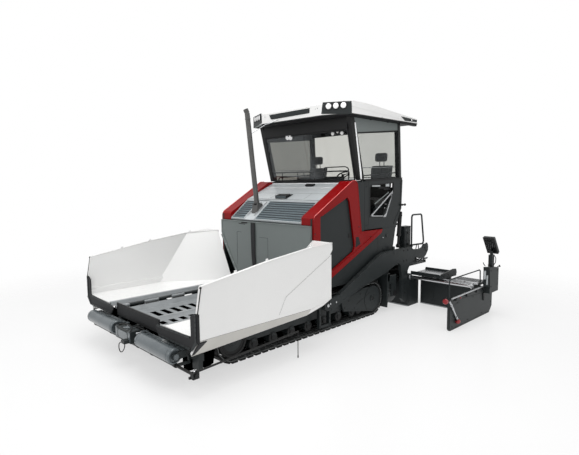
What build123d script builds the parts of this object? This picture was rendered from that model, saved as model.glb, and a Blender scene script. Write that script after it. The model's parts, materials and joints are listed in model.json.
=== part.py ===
from build123d import *
import os
from math import atan2, cos, degrees, pi, radians, sin

os.makedirs("parts", exist_ok=True)

# Tracked asphalt paver.  Millimetres.  +X is the machine's left, +Y points to
# the rear (the screed end), +Z is up.  The origin is on the ground, under the
# middle of the machine.  In the tables below a "station" is the distance in Y
# behind the plane that lies 150 mm in front of the push rollers' front face;
# the helpers turn stations into frame coordinates.

# ---------------------------------------------------------------- driving sizes
Y_MID = 3300            # station of the frame's origin
TRACK_IN, TRACK_OUT = 835, 1140      # inner and outer face of a track
WHEEL_R = 325           # idler and sprocket, over the shoes
IDLER_Y, SPROCKET_Y = 1330, 4620
LOOP_T = 72             # chain and shoe together
FRAME_X = 760           # outer face of the frame beams
BODY_X = 1190           # outer face of the body panels
PANEL_T = 35
TRIM_X = 1222           # outer face of the raised trim
ARM_X0, ARM_X1 = 1232, 1290          # tow arm plate
HINGE_X, HINGE_Z = 790, 610          # hopper wing hinge line
WING_X = 1660           # outer face of a hopper wing
WING_T = 40
WING_REAR = 2825        # rearmost station of a wing
WALL_Y0, WALL_Y1 = 2835, 2875        # hopper's rear wall
ROLLER_R, ROLLER_Y, ROLLER_Z = 98, 312, 414
PUSH_PIN_Y = 430        # vertical pin of the push beam
APRON_Y, APRON_Z = 480, 520          # apron hinge line
GUIDE_Y, GUIDE_Z = 340, 285          # steering guide tube
TOW_Y, TOW_Z = 3150, 500             # tow point, the screed's hinge line
TOW_PIN_R = 30
AUGER_Y, AUGER_Z, AUGER_R = 5260, 330, 190
SCREED_Y0, SCREED_Y1 = 5610, 6020    # main screed, front and rear
SCREED_X, SCREED_Z = 1300, 550
EXT_Y0, EXT_Y1 = 6032, 6425          # extension, front and rear
EXT_X0, EXT_X1 = 1345, 2600
TRAY_Z = 670
GATE_X = 2645           # outer face of an end gate
FLOOR_Z = 1700          # operator's floor, top
SILL_Z = 2560           # lower edge of the glass
EAVE_Z = 3685           # lower edge of the roof
DOOR_GAP = 8


# ---------------------------------------------------------------- helpers
def block(x, y, z, mode=Mode.ADD):
    """Box between limits in X, in stations and in height."""
    with Locations(((x[0] + x[1]) / 2, (y[0] + y[1]) / 2 - Y_MID, (z[0] + z[1]) / 2)):
        Box(abs(x[1] - x[0]), y[1] - y[0], z[1] - z[0], mode=mode)


def side_profile(points, x0, x1, mode=Mode.ADD):
    """Outline in (station, height), from x0 to x1."""
    with BuildSketch(Plane.YZ.offset(x0)) as outline:
        with BuildLine():
            Polyline(*[(y - Y_MID, z) for y, z in points], close=True)
        make_face()
    extrude(outline.sketch, amount=x1 - x0, mode=mode)


def cross_profile(points, y0, y1, mode=Mode.ADD):
    """Outline in (X, height), from station y0 to station y1."""
    with BuildSketch(Plane.XZ.offset(Y_MID - y1)) as outline:
        with BuildLine():
            Polyline(*points, close=True)
        make_face()
    extrude(outline.sketch, amount=y1 - y0, mode=mode)


def plan_profile(points, z0, z1, mode=Mode.ADD):
    """Outline in (X, station), from height z0 to z1."""
    with BuildSketch(Plane.XY.offset(z0)) as outline:
        with BuildLine():
            Polyline(*[(x, y - Y_MID) for x, y in points], close=True)
        make_face()
    extrude(outline.sketch, amount=z1 - z0, mode=mode)


def rod(a, b, r, mode=Mode.ADD):
    """Round bar between two points given as (X, station, height)."""
    start = Vector(a[0], a[1] - Y_MID, a[2])
    run = Vector(b[0], b[1] - Y_MID, b[2]) - start
    with BuildSketch(Plane(origin=start, z_dir=run)) as ring:
        Circle(r)
    extrude(ring.sketch, amount=run.length, mode=mode)


def bent_bar(points, r, bend):
    """Round bar through points (X, station, height) with rounded corners."""
    with BuildLine(mode=Mode.PRIVATE) as path:
        FilletPolyline(*[(x, y - Y_MID, z) for x, y, z in points], radius=bend)
    with BuildSketch(Plane(origin=path.line @ 0, z_dir=path.line % 0), mode=Mode.PRIVATE) as ring:
        Circle(r)
    sweep(ring.sketch, path=path.line)


def ruled_sheet(start, end):
    """Sheet between two four-cornered outlines (X, station, height), corner to corner."""
    start, end = [[(x, y - Y_MID, z) for x, y, z in corners] for corners in (start, end)]
    faces = [Face(Wire.make_polygon(start, close=True)), Face(Wire.make_polygon(end, close=True))]
    for i in range(4):
        j = (i + 1) % 4
        faces.append(Face.make_surface_from_curves(Edge.make_line(start[i], start[j]),
                                                   Edge.make_line(end[i], end[j])))
    add(Solid(Shell(faces)))


def on_slope(a, b, depth):
    """Four corners of a sheet whose top runs from a to b, in (station, height)."""
    slope = atan2(b[1] - a[1], b[0] - a[0])
    dy, dz = depth * sin(slope), -depth * cos(slope)
    return [a, b, (b[0] + dy, b[1] + dz), (a[0] + dy, a[1] + dz)]


# ================================================================ CHASSIS
# ---- main frame: two box beams, outriggers, lashing eyes
CROSS_MEMBERS = (505, 1600, 2700, 4960)        # first station of each
LASHING = (620, 4800)   # first station of each lashing eye
LASHING_R = 25
with BuildPart() as main_frame:
    block((660, FRAME_X), (505, 5040), (300, 470))
    block((FRAME_X, 1440), (540, 620), (320, 420))      # outrigger under the wing
    block((1300, 1440), (540, 600), (215, 320))
    block((FRAME_X, 810), (700, 820), (330, 430))       # root of the wing cylinder
    for y0 in LASHING:                                  # lashing eyes under the beams
        block((690, 730), (y0, y0 + 110), (215, 300))
        rod((680, y0 + 55, 255), (740, y0 + 55, 255), LASHING_R, mode=Mode.SUBTRACT)
    mirror(about=Plane.YZ)

# ---- cross members and centre beam between the two box beams
with BuildPart() as frame_cross_members:
    for y in CROSS_MEMBERS:
        block((-660, 660), (y, y + 80), (300, 390))
    block((-25, 25), (585, 5040), (300, 470))
    # clevis of the push beam
    for z0 in (370, 466):
        plan_profile([(-90, 504), (90, 504), (55, 396), (-55, 396)], z0, z0 + 24)
    block((-90, 90), (496, 510), (370, 484))
    rod((0, PUSH_PIN_Y, 360), (0, PUSH_PIN_Y, 494), 25)
with BuildPart() as belly_plate:
    block((-688, 688), (2740, 5000), (290, 300))

# ---- the two conveyor tunnels through the body: walls and roof, on the frame
with BuildPart() as conveyor_tunnels:
    for x0, x1 in ((700, FRAME_X), (-25, 25), (-FRAME_X, -700)):
        block((x0, x1), (2880, 5040), (470, 970))
    block((-FRAME_X, FRAME_X), (2880, 5040), (970, 1000))

# ---- hopper floor with the conveyor slots, the hinge clips of the wings
SLOT_X0, SLOT_X1, SLOT_W, SLOT_PITCH = 105, 455, 74, 170
SLOT_COUNT = 12
CLIPS = ((480, 700), (960, 1210), (1460, 1700), (2200, 2440))     # first, last station
with BuildPart() as hopper_floor:
    block((-700, 700), (505, 2832), (485, 505))
    cross_profile([(-70, 505), (70, 505), (30, 545), (-30, 545)], 620, 2832)
    with Locations(*[(sx * (SLOT_X0 + SLOT_X1) / 2, 760 + k * SLOT_PITCH - Y_MID, 495)
                     for k in range(SLOT_COUNT) for sx in (-1, 1)]):
        Box(SLOT_X1 - SLOT_X0, SLOT_W, 40, mode=Mode.SUBTRACT)
    for s in (-1, 1):
        cross_profile([(s * 700, 485), (s * 758, 485), (s * 758, 575), (s * 746, 575), (s * 700, 505)],
                      505, 2832)
        for y0, y1 in CLIPS:
            rod((s * HINGE_X, y0, HINGE_Z), (s * HINGE_X, y1, HINGE_Z), 24)
            cross_profile([(s * 746, 560), (s * 758, 540), (s * 790, 588), (s * 778, 606)],
                          max(y0, 505), y1)
    for x0, x1 in ((-45, 45), (305, 345), (-345, -305), (606, 640), (-640, -606)):
        rod((x0, APRON_Y, APRON_Z), (x1, APRON_Y, APRON_Z), 14)
        side_profile([(478, 524), (478, 510), (500, 501), (506, 501), (506, 505), (494, 514)], x0, x1)

# ---- slat conveyors under the floor and through the tunnels
with BuildPart() as conveyors:
    for s in (-1, 1):
        block(sorted((s * 60, s * 610)), (640, 5035), (420, 436))
    SLATS = 25
    with Locations(*[(s * 335, 760 + SLOT_PITCH / 2 + k * SLOT_PITCH - Y_MID, 447)
                     for k in range(SLATS) for s in (-1, 1)]):
        Box(520, 60, 22)

# ---- hydraulic cylinders that fold the wings, cut loose at the rod's eye
with BuildPart() as wing_cylinders:
    rod((834, 760, 386), (1180, 760, 480), 42)
    rod((1180, 760, 480), (1330, 760, 521), 24)
    rod((1345, 735, 525), (1345, 785, 525), 42)
    rod((842, 715, 386), (842, 805, 386), 24)
    mirror(about=Plane.YZ)

# ---- hopper's rear wall with the two tunnel mouths
with BuildPart() as hopper_rear_wall:
    cross_profile([(-BODY_X, 1830), (-BODY_X, 1560), (-720, 860), (-700, 508), (700, 508), (720, 860),
                   (BODY_X, 1560), (BODY_X, 1830)], WALL_Y0, WALL_Y1)
    for s in (-1, 1):
        block(sorted((s * 40, s * 620)), (WALL_Y0 - 5, WALL_Y1 + 5), (500, 860), mode=Mode.SUBTRACT)

# ---- body panels: one on each side, open for the service door
DOOR = [(3058, 1038), (3058, 1962), (3742, 2262), (3790, 2190), (3942, 1396), (3895, 1312),
        (3420, 1100), (3250, 1038)]
BODY = [(2880, 750), (2880, 1940), (3860, 2500), (4275, 2540), (4275, 1640), (5300, 1640),
        (5200, 1200), (5060, 750)]
with BuildPart() as body_sides:
    side_profile(BODY, BODY_X - PANEL_T, BODY_X)
    with BuildSketch(Plane.YZ.offset(BODY_X - PANEL_T - 5)) as hole:
        with BuildLine():
            Polyline(*[(y - Y_MID, z) for y, z in DOOR], close=True)
        make_face()
        offset(amount=DOOR_GAP)
    extrude(hole.sketch, amount=PANEL_T + 10, mode=Mode.SUBTRACT)
    # lower flange that stiffens the panel and closes it over the track
    block((1000, BODY_X - PANEL_T), (2880, 5060), (750, 775))
    mirror(about=Plane.YZ)

# ---- red trim: a raised ring round the door, a gusset, a rail along the top
TRIM = [(2885, 930), (2885, 1930), (2915, 1985), (3886, 2547), (3990, 2550), (4032, 2500),
        (4150, 1640), (4800, 1640), (4760, 1575), (3480, 1000), (3325, 930)]
RAIL = [(2885, 1850), (2885, 1930), (2915, 1985), (3886, 2547), (3990, 2550), (3990, 2440),
        (3870, 2420), (2960, 1865)]
with BuildPart() as body_trim:
    side_profile(TRIM, BODY_X, TRIM_X)
    with BuildSketch(Plane.YZ.offset(BODY_X - 5)) as hole:
        with BuildLine():
            Polyline(*[(y - Y_MID, z) for y, z in DOOR], close=True)
        make_face()
        offset(amount=DOOR_GAP + 4)
    extrude(hole.sketch, amount=60, mode=Mode.SUBTRACT)
    # the rail: full body width from the hood's edge outwards
    with BuildSketch(Plane.YZ.offset(950)) as rail:
        with BuildLine():
            Polyline(*[(y - Y_MID, z + 0) for y, z in
                       [(2885, 1948), (2915, 1985), (3886, 2547), (3990, 2550), (3990, 2528),
                        (3866, 2505), (2885, 1945)]], close=True)
        make_face()
    extrude(rail.sketch, amount=TRIM_X - 950)
    side_profile([(2885, 1850), (2885, 1948), (3886, 2530), (3990, 2535), (3990, 2440), (3870, 2420),
                  (2960, 1865)], 950, 985)
    block((950, BODY_X - PANEL_T), (2882, 2912), (1836, 1950))
    mirror(about=Plane.YZ)

# ---- hood: louvred front slope, upper panel
HOOD_X = 945
with BuildPart() as hood_front:
    side_profile(on_slope((2880, 1858), (3290, 2186), 28), -HOOD_X, HOOD_X)
    side_profile(on_slope((2880, 1858), (2895, 1870), 24), -HOOD_X, HOOD_X)
with BuildPart() as hood_top:
    side_profile(on_slope((3316, 2222), (3985, 2516), 26), -HOOD_X, HOOD_X)
    side_profile([(3316, 2160), (3316, 2222), (3332, 2224), (3332, 2160)], -HOOD_X, HOOD_X)
    side_profile([(3335, 2212), (3430, 2260), (3430, 2318), (3335, 2290)], -160, 130)

# ---- engine: one plain block with its gearbox
with BuildPart() as engine_block:
    block((-420, 420), (3120, 3980), (1040, 1840))
    block((-300, 300), (3980, 4620), (1060, 1580))

# ---- bulkheads behind the engine bay and in front of the operator
with BuildPart() as front_bulkhead:
    block((-1150, 1150), (4000, 4036), (FLOOR_Z + 5, 2530))
    side_profile([(4000, 2530), (4260, 2556), (4260, 2536), (4036, 2510), (4036, 2500), (4000, 2500)],
                 -1150, 1150)
with BuildPart() as rear_bulkhead:
    block((-1150, 1150), (5045, 5075), (1005, 1655))
    for s in (-1, 1):
        block(sorted((s * 765, s * 1150)), (5045, 5075), (780, 1005))
    block((-1150, 1150), (5075, 5255), (1560, 1600))

# ================================================================ OPERATOR STATION
SEAT_X, SEAT_Y = 850, 5010
with BuildPart() as operator_floor:
    block((-1150, 1150), (4045, 5500), (FLOOR_Z - 40, FLOOR_Z))
    for s in (-1, 1):                                   # room for the screed's lift cylinders
        block(sorted((s * 1110, s * 1160)), (5390, 5510), (FLOOR_Z - 50, FLOOR_Z + 10), mode=Mode.SUBTRACT)
    for s in (-1, 1):
        block(sorted((s * (SEAT_X - 150), s * (SEAT_X + 150))), (SEAT_Y - 190, SEAT_Y + 190),
              (FLOOR_Z, FLOOR_Z + 330))
        block(sorted((s * (SEAT_X - 230), s * (SEAT_X + 230))), (SEAT_Y - 250, SEAT_Y + 220),
              (FLOOR_Z + 330, FLOOR_Z + 380))
SIDE = [(4280, 1660), (4280, 2556), (5500, 2600), (5530, 2560), (5500, 2000), (5310, 1660)]
SIDE_WINDOW = [(4440, 1890), (4440, 2430), (4500, 2475), (5215, 2510), (5200, 2330), (4860, 1868)]
with BuildPart() as operator_sides:
    side_profile(SIDE, BODY_X - PANEL_T, BODY_X)
    side_profile(SIDE_WINDOW, BODY_X - PANEL_T - 5, BODY_X + 5, mode=Mode.SUBTRACT)
    mirror(about=Plane.YZ)
with BuildPart() as operator_console:
    side_profile([(4290, 2180), (4290, 2540), (4330, 2640), (4420, 2640), (4640, 2470), (4640, 2380),
                  (4420, 2180)], -560, 560)
    block((-420, -300), (4290, 4420), (FLOOR_Z, 2180))
    block((300, 420), (4290, 4420), (FLOOR_Z, 2180))

# cushions of the two seats: base, back, headrest; each a plain closed solid
SEAT_TOP = FLOOR_Z + 382
with BuildPart() as seats:
    for s in (-1, 1):
        block(sorted((s * (SEAT_X - 240), s * (SEAT_X + 240))), (SEAT_Y - 270, SEAT_Y + 170),
              (SEAT_TOP, SEAT_TOP + 130))
        side_profile([(SEAT_Y + 175, SEAT_TOP + 60), (SEAT_Y + 295, SEAT_TOP + 40),
                      (SEAT_Y + 345, SEAT_TOP + 760), (SEAT_Y + 235, SEAT_TOP + 770)],
                     s * SEAT_X - 230, s * SEAT_X + 230)
        side_profile([(SEAT_Y + 215, SEAT_TOP + 850), (SEAT_Y + 320, SEAT_TOP + 845),
                      (SEAT_Y + 330, SEAT_TOP + 1015), (SEAT_Y + 228, SEAT_TOP + 1020)],
                     s * SEAT_X - 130, s * SEAT_X + 130)

# roof posts: front ones lean forward, rear ones nearly upright
POST_X0, POST_X1 = 1095, 1175
with BuildPart() as roof_frame:
    side_profile([(4150, SILL_Z), (4260, SILL_Z), (3980, EAVE_Z - 30), (3870, EAVE_Z - 30)], POST_X0, POST_X1)
    side_profile([(5420, 2602), (5510, 2604), (5445, EAVE_Z - 30), (5355, EAVE_Z - 30)], POST_X0, POST_X1)
    side_profile([(4025, 3385), (5385, 3520), (5380, EAVE_Z - 30), (3960, EAVE_Z - 30)],
                 POST_X0 + 10, POST_X1 - 10)
    mirror(about=Plane.YZ)
    block((-1095, 1095), (3880, 3930), (3450, EAVE_Z - 30))
    block((-1095, 1095), (5370, 5420), (3560, EAVE_Z - 30))

# glass
with BuildPart() as windscreen:
    for x0, x1 in ((-1080, -12), (12, 1080)):
        side_profile([(4125, SILL_Z + 4), (4137, SILL_Z + 4), (3926, 3440), (3914, 3440)], x0, x1)
with BuildPart() as side_windows:
    side_profile([(4270, 2562), (5412, 2602), (5358, 3510), (4070, 3382)], 1140, 1150)
    mirror(about=Plane.YZ)
    side_profile([(5440, 2615), (5450, 2615), (5392, 3556), (5382, 3556)], -1093, 1093)     # rear pane

# roof: crowned shell, chamfered at the front corners
ROOF_SIDE = [(3570, EAVE_Z), (3570, 3870), (3640, 3898), (4300, 3888), (5885, 3768), (5885, EAVE_Z)]
ROOF_PLAN = [(-780, 3570), (780, 3570), (1285, 3780), (1285, 5885), (-1285, 5885), (-1285, 3780)]
ROOF_INSIDE = [(-740, 3625), (740, 3625), (1230, 3830), (1230, 5830), (-1230, 5830), (-1230, 3830)]
with BuildPart() as roof:
    side_profile(ROOF_SIDE, -1285, 1285)
    plan_profile(ROOF_PLAN, EAVE_Z - 50, 3950, mode=Mode.INTERSECT)
    plan_profile(ROOF_INSIDE, EAVE_Z - 50, 3735, mode=Mode.SUBTRACT)
with BuildPart() as roof_liner:
    plan_profile(ROOF_INSIDE, EAVE_Z - 28, EAVE_Z + 10)

# ---- exhaust pipe, leaning forward, with its clamp on the hood
PIPE_X, PIPE_R = -400, 46
with BuildPart() as exhaust_pipe:
    rod((PIPE_X, 3085, 2105), (PIPE_X, 2885, 3790), PIPE_R)
    rod((PIPE_X, 2885, 3790), (PIPE_X, 2850, 3850), PIPE_R)
    side_profile([(3010, 1964), (3165, 2088), (3150, 2150), (3040, 2150)], PIPE_X - 75, PIPE_X + 75)

# ================================================================ TRACKS
PITCH_COUNT = 60
straight = SPROCKET_Y - IDLER_Y
perimeter = 2 * straight + 2 * pi * WHEEL_R


def stadium(r):
    return [(IDLER_Y, WHEEL_R, r), (SPROCKET_Y, WHEEL_R, r)]


def along_loop(s):
    """Point, height and outward angle at distance s along the loop's outside."""
    s = s % perimeter
    if s < straight:
        return IDLER_Y + s, 0, -90
    s -= straight
    if s < pi * WHEEL_R:
        a = -90 + degrees(s / WHEEL_R)
        return SPROCKET_Y + WHEEL_R * cos(radians(a)), WHEEL_R + WHEEL_R * sin(radians(a)), a
    s -= pi * WHEEL_R
    if s < straight:
        return SPROCKET_Y - s, 2 * WHEEL_R, 90
    s -= straight
    a = 90 + degrees(s / WHEEL_R)
    return IDLER_Y + WHEEL_R * cos(radians(a)), WHEEL_R + WHEEL_R * sin(radians(a)), a


with BuildPart() as track_left:
    with BuildSketch(Plane.YZ.offset(TRACK_IN)) as loop:
        with Locations(((IDLER_Y + SPROCKET_Y) / 2 - Y_MID, WHEEL_R)):
            SlotCenterToCenter(straight, 2 * WHEEL_R)
            SlotCenterToCenter(straight, 2 * (WHEEL_R - LOOP_T), mode=Mode.SUBTRACT)
        # gaps between the shoes
        for k in range(PITCH_COUNT):
            y, z, a = along_loop((k + 0.5) * perimeter / PITCH_COUNT)
            with Locations(Location((y - Y_MID, z, 0), a)):
                Rectangle(36, 18, mode=Mode.SUBTRACT)
    extrude(loop.sketch, amount=TRACK_OUT - TRACK_IN)
with BuildPart() as track_right:
    mirror(track_left.part, about=Plane.YZ)

# track frames: beam, rollers, idler and sprocket, guard over the final drive
ROLLERS = (1720, 2110, 2500, 2890, 3280, 3670, 4060, 4260)
GUARD_X0, GUARD_X1 = 1092, 1128
with BuildPart() as track_frames:
    side_profile([(1500, 290), (1500, 400), (4300, 430), (4300, 260), (1700, 230)], 880, 1080)
    for y0 in (1900, 3100, 4000):
        block((FRAME_X, 880), (y0, y0 + 140), (310, 400))
    for y in ROLLERS:
        rod((890, y, 166), (1070, y, 166), 86)
        block((940, 1020), (y - 30, y + 30), (150, 300))
    for y in (2300, 3400):
        rod((900, y, 520), (1060, y, 520), 52)
        block((940, 1020), (y - 25, y + 25), (380, 520))
    rod((880, IDLER_Y, WHEEL_R), (1090, IDLER_Y, WHEEL_R), 244)
    rod((880, SPROCKET_Y, WHEEL_R), (1080, SPROCKET_Y, WHEEL_R), 240)
    block((940, 1020), (4280, 4640), (280, 380))
    # guard: disc over the sprocket running forward to a blunt end
    rod((1080, SPROCKET_Y, WHEEL_R), (GUARD_X1, SPROCKET_Y, WHEEL_R), 246)
    side_profile([(3690, 440), (3760, 240), (4560, 90), (4620, 200), (4620, 560), (4330, 568)],
                 GUARD_X0, GUARD_X1)
    block((1078, GUARD_X0 + 5), (3800, 4250), (290, 400))
    mirror(about=Plane.YZ)

# ================================================================ TOW POINTS, AUGERS
with BuildPart() as tow_point_rails:
    block((1165, 1222), (3010, 3050), (120, 748))
    block((1165, 1222), (3250, 3290), (120, 748))
    block((1165, 1222), (3050, 3250), (120, 160))
    block((1165, 1222), (3050, 3250), (700, 748))
    block((1170, 1222), (3050, 3250), (420, 580))
    rod((1222, TOW_Y, TOW_Z), (1300, TOW_Y, TOW_Z), TOW_PIN_R)
    rod((1194, TOW_Y, 580), (1194, TOW_Y, 700), 24)
    mirror(about=Plane.YZ)

with BuildPart() as auger_support:
    block((-70, 70), (5080, 5400), (230, 560))
    block((-70, 70), (5080, 5140), (560, 990))
    block((-70, 70), (5045, 5080), (620, 990))
    block((-1215, 1215), (5080, 5140), (620, 700))
    for s in (-1, 1):
        block(sorted((s * 1195, s * 1215)), (5140, 5310), (275, 700))
        block(sorted((s * 1195, s * 1215)), (5080, 5140), (540, 620))

with BuildPart() as deflector_plates:
    block((1010, 1222), (4975, 5000), (90, 748))
    block((1197, 1222), (4975, 5075), (600, 748))
    mirror(about=Plane.YZ)

FLIGHTS = 5
with BuildPart() as auger_left:
    rod((85, AUGER_Y, AUGER_Z), (1188, AUGER_Y, AUGER_Z), 48)
    for k in range(FLIGHTS):
        x = 200 + k * 215
        tilted = Plane(origin=(x, AUGER_Y - Y_MID, AUGER_Z),
                       z_dir=(cos(radians(20)), 0, sin(radians(20))))
        with BuildSketch(tilted.offset(-7)) as disc:
            Circle(AUGER_R - 6)
        extrude(disc.sketch, amount=14)
with BuildPart() as auger_right:
    mirror(auger_left.part, about=Plane.YZ)

with BuildPart() as screed_lift_cylinders:
    rod((1175, 5480, 1880), (1175, 5435, 1445), 40)
    rod((1175, 5435, 1445), (1175, 5418, 1275), 22)
    rod((1150, 5416, 1255), (1200, 5416, 1255), 38)
    rod((1150, 5486, 1905), (1200, 5486, 1905), 34)
    mirror(about=Plane.YZ)

# ================================================================ FRONT
with BuildPart() as guide_tube:
    rod((-1250, GUIDE_Y, GUIDE_Z), (1250, GUIDE_Y, GUIDE_Z), 26)
    rod((-1260, GUIDE_Y, GUIDE_Z), (1260, GUIDE_Y, GUIDE_Z), 20.5, mode=Mode.SUBTRACT)
    for x in (-640, -240, 240, 640):
        block((x - 18, x + 18), (GUIDE_Y + 24, 505), (262, 300))
        block((x - 18, x + 18), (480, 505), (300, 330))
    for x in (-1370, 1370):
        s = 1 if x > 0 else -1
        block(sorted((s * 1225, s * 1248)), (GUIDE_Y + 24, 540), (262, 300))
        block(sorted((s * 1225, s * 1248)), (515, 540), (300, 380))

with BuildPart() as steering_guide:
    rod((200, GUIDE_Y, GUIDE_Z), (1700, GUIDE_Y, GUIDE_Z), 18)
    block((1625, 1690), (GUIDE_Y - 40, GUIDE_Y + 45), (245, 325))
    block((1600, 1625), (GUIDE_Y - 50, GUIDE_Y + 30), (235, 262))
    rod((1672, GUIDE_Y, 325), (1672, 2060, 410), 13)
    rod((1672, 2052, 410), (1672, 2052, 20), 6)

# push beam on its vertical pin, with two free rollers
RX0, RX1 = 370, 1272
with BuildPart() as push_beam:
    block((-235, 235), (230, 378), (332, 500))
    block((110, 210), (150, 235), (342, 386))           # nose for the tow loop
    block((-48, 48), (378, PUSH_PIN_Y), (400, 460))
    rod((0, PUSH_PIN_Y, 400), (0, PUSH_PIN_Y, 460), 55)
    rod((0, PUSH_PIN_Y, 390), (0, PUSH_PIN_Y, 470), 26, mode=Mode.SUBTRACT)
    for s in (-1, 1):
        block(sorted((s * 200, s * 345)), (370, 450), (388, 470))
        block(sorted((s * 330, s * 1300)), (420, 450), (388, 470))
        for x0, x1 in ((340, 362), (1280, 1302)):
            side_profile([(450, 388), (450, 470), (370, 470), (340, 458), (290, 450), (266, 432), (262, 414),
                          (270, 392), (292, 376), (330, 372)], *sorted((s * x0, s * x1)))
        rod((s * 345, ROLLER_Y, ROLLER_Z), (s * 410, ROLLER_Y, ROLLER_Z), 20)
        rod((s * 1232, ROLLER_Y, ROLLER_Z), (s * 1280, ROLLER_Y, ROLLER_Z), 20)
with BuildPart() as push_roller_left:
    rod((RX0, ROLLER_Y, ROLLER_Z), (RX1, ROLLER_Y, ROLLER_Z), ROLLER_R)
    rod((RX0 - 5, ROLLER_Y, ROLLER_Z), (RX0 + 60, ROLLER_Y, ROLLER_Z), 21, mode=Mode.SUBTRACT)
    rod((RX1 - 60, ROLLER_Y, ROLLER_Z), (RX1 + 5, ROLLER_Y, ROLLER_Z), 21, mode=Mode.SUBTRACT)
with BuildPart() as push_roller_right:
    mirror(push_roller_left.part, about=Plane.YZ)

# apron across the front of the hopper, hinged at its lower edge
with BuildPart() as front_apron:
    side_profile([(447, 524), (459, 524), (459, 716), (447, 716)], -655, 655)
    for x0, x1 in ((52, 298), (352, 599), (-298, -52), (-599, -352)):
        rod((x0, APRON_Y, APRON_Z), (x1, APRON_Y, APRON_Z), 14)
        side_profile([(458, 524), (480, 507), (480, 533), (458, 540)], x0, x1)

# ---- hopper wings
WING_FRONT = 402
WING_WALL = [(WING_FRONT, 662), (WING_FRONT, 1005), (458, 1320), (1500, 1483), (2310, 1577), (WING_REAR, 1608),
             (WING_REAR, 1500), (2780, 1440), (2805, 755)]
KNUCKLES = ((706, 954), (1216, 1454), (1706, 2194), (2446, 2780))
FOLD_LOW, FOLD_TOP = 1661, 2310         # stations where the corner panel leaves the outer wall, low and high
with BuildPart() as wing_left:
    # cap over the pocket behind the corner panel
    side_profile([(2310, 1550), (2310, 1574), (2820, 1605), (2820, 1581)], 1265, WING_X - WING_T)
    plan_profile([(1200, 2200), (1640, 2200), (1620, FOLD_TOP + 6), (1279, 2800), (1279, 2860), (1200, 2860)],
                 1500, 1650, mode=Mode.SUBTRACT)
    side_profile(WING_WALL, WING_X - WING_T, WING_X)
    # floor, narrowing to the rear as the corner panel takes over
    plan_profile([(830, WING_FRONT), (WING_X - WING_T, WING_FRONT), (WING_X - WING_T, FOLD_LOW + 40), (905, 2790),
                  (830, 2790)], 664, 694)
    cross_profile([(806, 596), (814, 628), (824, 672), (870, 672), (870, 694), (812, 694), (790, 634)],
                  706, 2800)
    cross_profile([(824, 672), (870, 672), (870, 694), (820, 694)], WING_FRONT, 706)
    for y0, y1 in KNUCKLES:
        rod((HINGE_X, y0, HINGE_Z), (HINGE_X, y1, HINGE_Z), 24)
    for y0, y1 in CLIPS:
        block((760, 819), (max(y0 - 6, 700), y1 + 6), (570, 650), mode=Mode.SUBTRACT)
    # bevelled skirt below the outer wall, tapering to the rear
    with BuildSketch(Plane.XZ.offset(Y_MID - 2805)) as skirt:
        with BuildLine():
            Polyline((WING_X, 790), (WING_X, 672), (1500, 460), (1476, 484), (1600, 650), (1600, 790), close=True)
        make_face()
    extrude(skirt.sketch, amount=2805 - WING_FRONT)
    side_profile([(390, 380), (390, 442), (2330, 566), (2815, 752), (2815, 380)], 1400, 1700, mode=Mode.SUBTRACT)
    # corner panel: a ruled sheet from a slanting line on the outer wall to a 65 degree slope at the rear
    ruled_sheet([(838, 2800, 690), (1270, 2800, 1600), (1303, 2800, 1600), (870, 2800, 690)],
                [(1625, FOLD_LOW, 690), (1625, FOLD_TOP, 1572), (1625, FOLD_TOP + 34, 1574), (1625, FOLD_LOW + 40, 690)])
    # rear plate of the pocket behind the corner panel
    cross_profile([(905, 685), (1350, 1590), (1630, 1590), (1630, 740)], 2716, 2744)
with BuildPart() as wing_right:
    mirror(wing_left.part, about=Plane.YZ)

# rubber flaps along the front edges of the wings
with BuildPart() as wing_flap_left:
    cross_profile([(668, 656), (668, 620), (705, 580), (740, 532), (1512, 532), (1664, 652), (1664, 1000), (1640, 1006),
                   (1568, 990), (1522, 950), (1522, 716), (1496, 702), (830, 674)], 386, 401)
    block((1660, 1668), (386, 420), (662, 1000))
with BuildPart() as wing_flap_right:
    mirror(wing_flap_left.part, about=Plane.YZ)

# ---- service doors, hung on their front edge
DOOR_HINGE_X, DOOR_HINGE_Y = 1200, 3053.5
with BuildPart() as service_door_left:
    side_profile(DOOR, BODY_X - PANEL_T + 2, BODY_X + 2)
    for z0, z1 in ((1090, 1170), (1440, 1560), (1830, 1910)):       # hinge knuckles
        rod((DOOR_HINGE_X, DOOR_HINGE_Y, z0), (DOOR_HINGE_X, DOOR_HINGE_Y, z1), 6)
        block((BODY_X, DOOR_HINGE_X), (DOOR_HINGE_Y, 3080), (z0, z1))
with BuildPart() as service_door_right:
    mirror(service_door_left.part, about=Plane.YZ)

# ================================================================ SCREED
ARM = [(3072, 455), (3072, 545), (3120, 590), (3449, 626), (4616, 1156), (4780, 1192), (5014, 1205),
       (5740, 1205), (5810, 1150), (6120, 1125), (6225, 1150), (6290, 1212), (6370, 1212), (6412, 1160),
       (6405, 1075), (6330, 985), (6240, 925), (6100, 930), (5900, 985), (5700, 862),
       (5604, 745), (5604, 160), (5560, 120), (5480, 120), (5400, 200), (5385, 700), (5330, 900),
       (5250, 940), (4720, 781), (4066, 642), (3340, 430), (3130, 405)]
SOCKET_Y, SOCKET_TOP, SOCKET_DEPTH, SOCKET_R = 5120, 1275, 80, 20.25
with BuildPart() as tow_arms:
    side_profile(ARM, ARM_X0, ARM_X1)
    rod((ARM_X0 - 5, TOW_Y, TOW_Z), (ARM_X1 + 5, TOW_Y, TOW_Z), TOW_PIN_R + 1, mode=Mode.SUBTRACT)
    # socket for a grade sensor's post
    rod((1261, SOCKET_Y, 1190), (1261, SOCKET_Y, SOCKET_TOP), 29)
    rod((1261, SOCKET_Y, SOCKET_TOP - SOCKET_DEPTH), (1261, SOCKET_Y, SOCKET_TOP + 5), SOCKET_R, mode=Mode.SUBTRACT)
    mirror(about=Plane.YZ)

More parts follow.
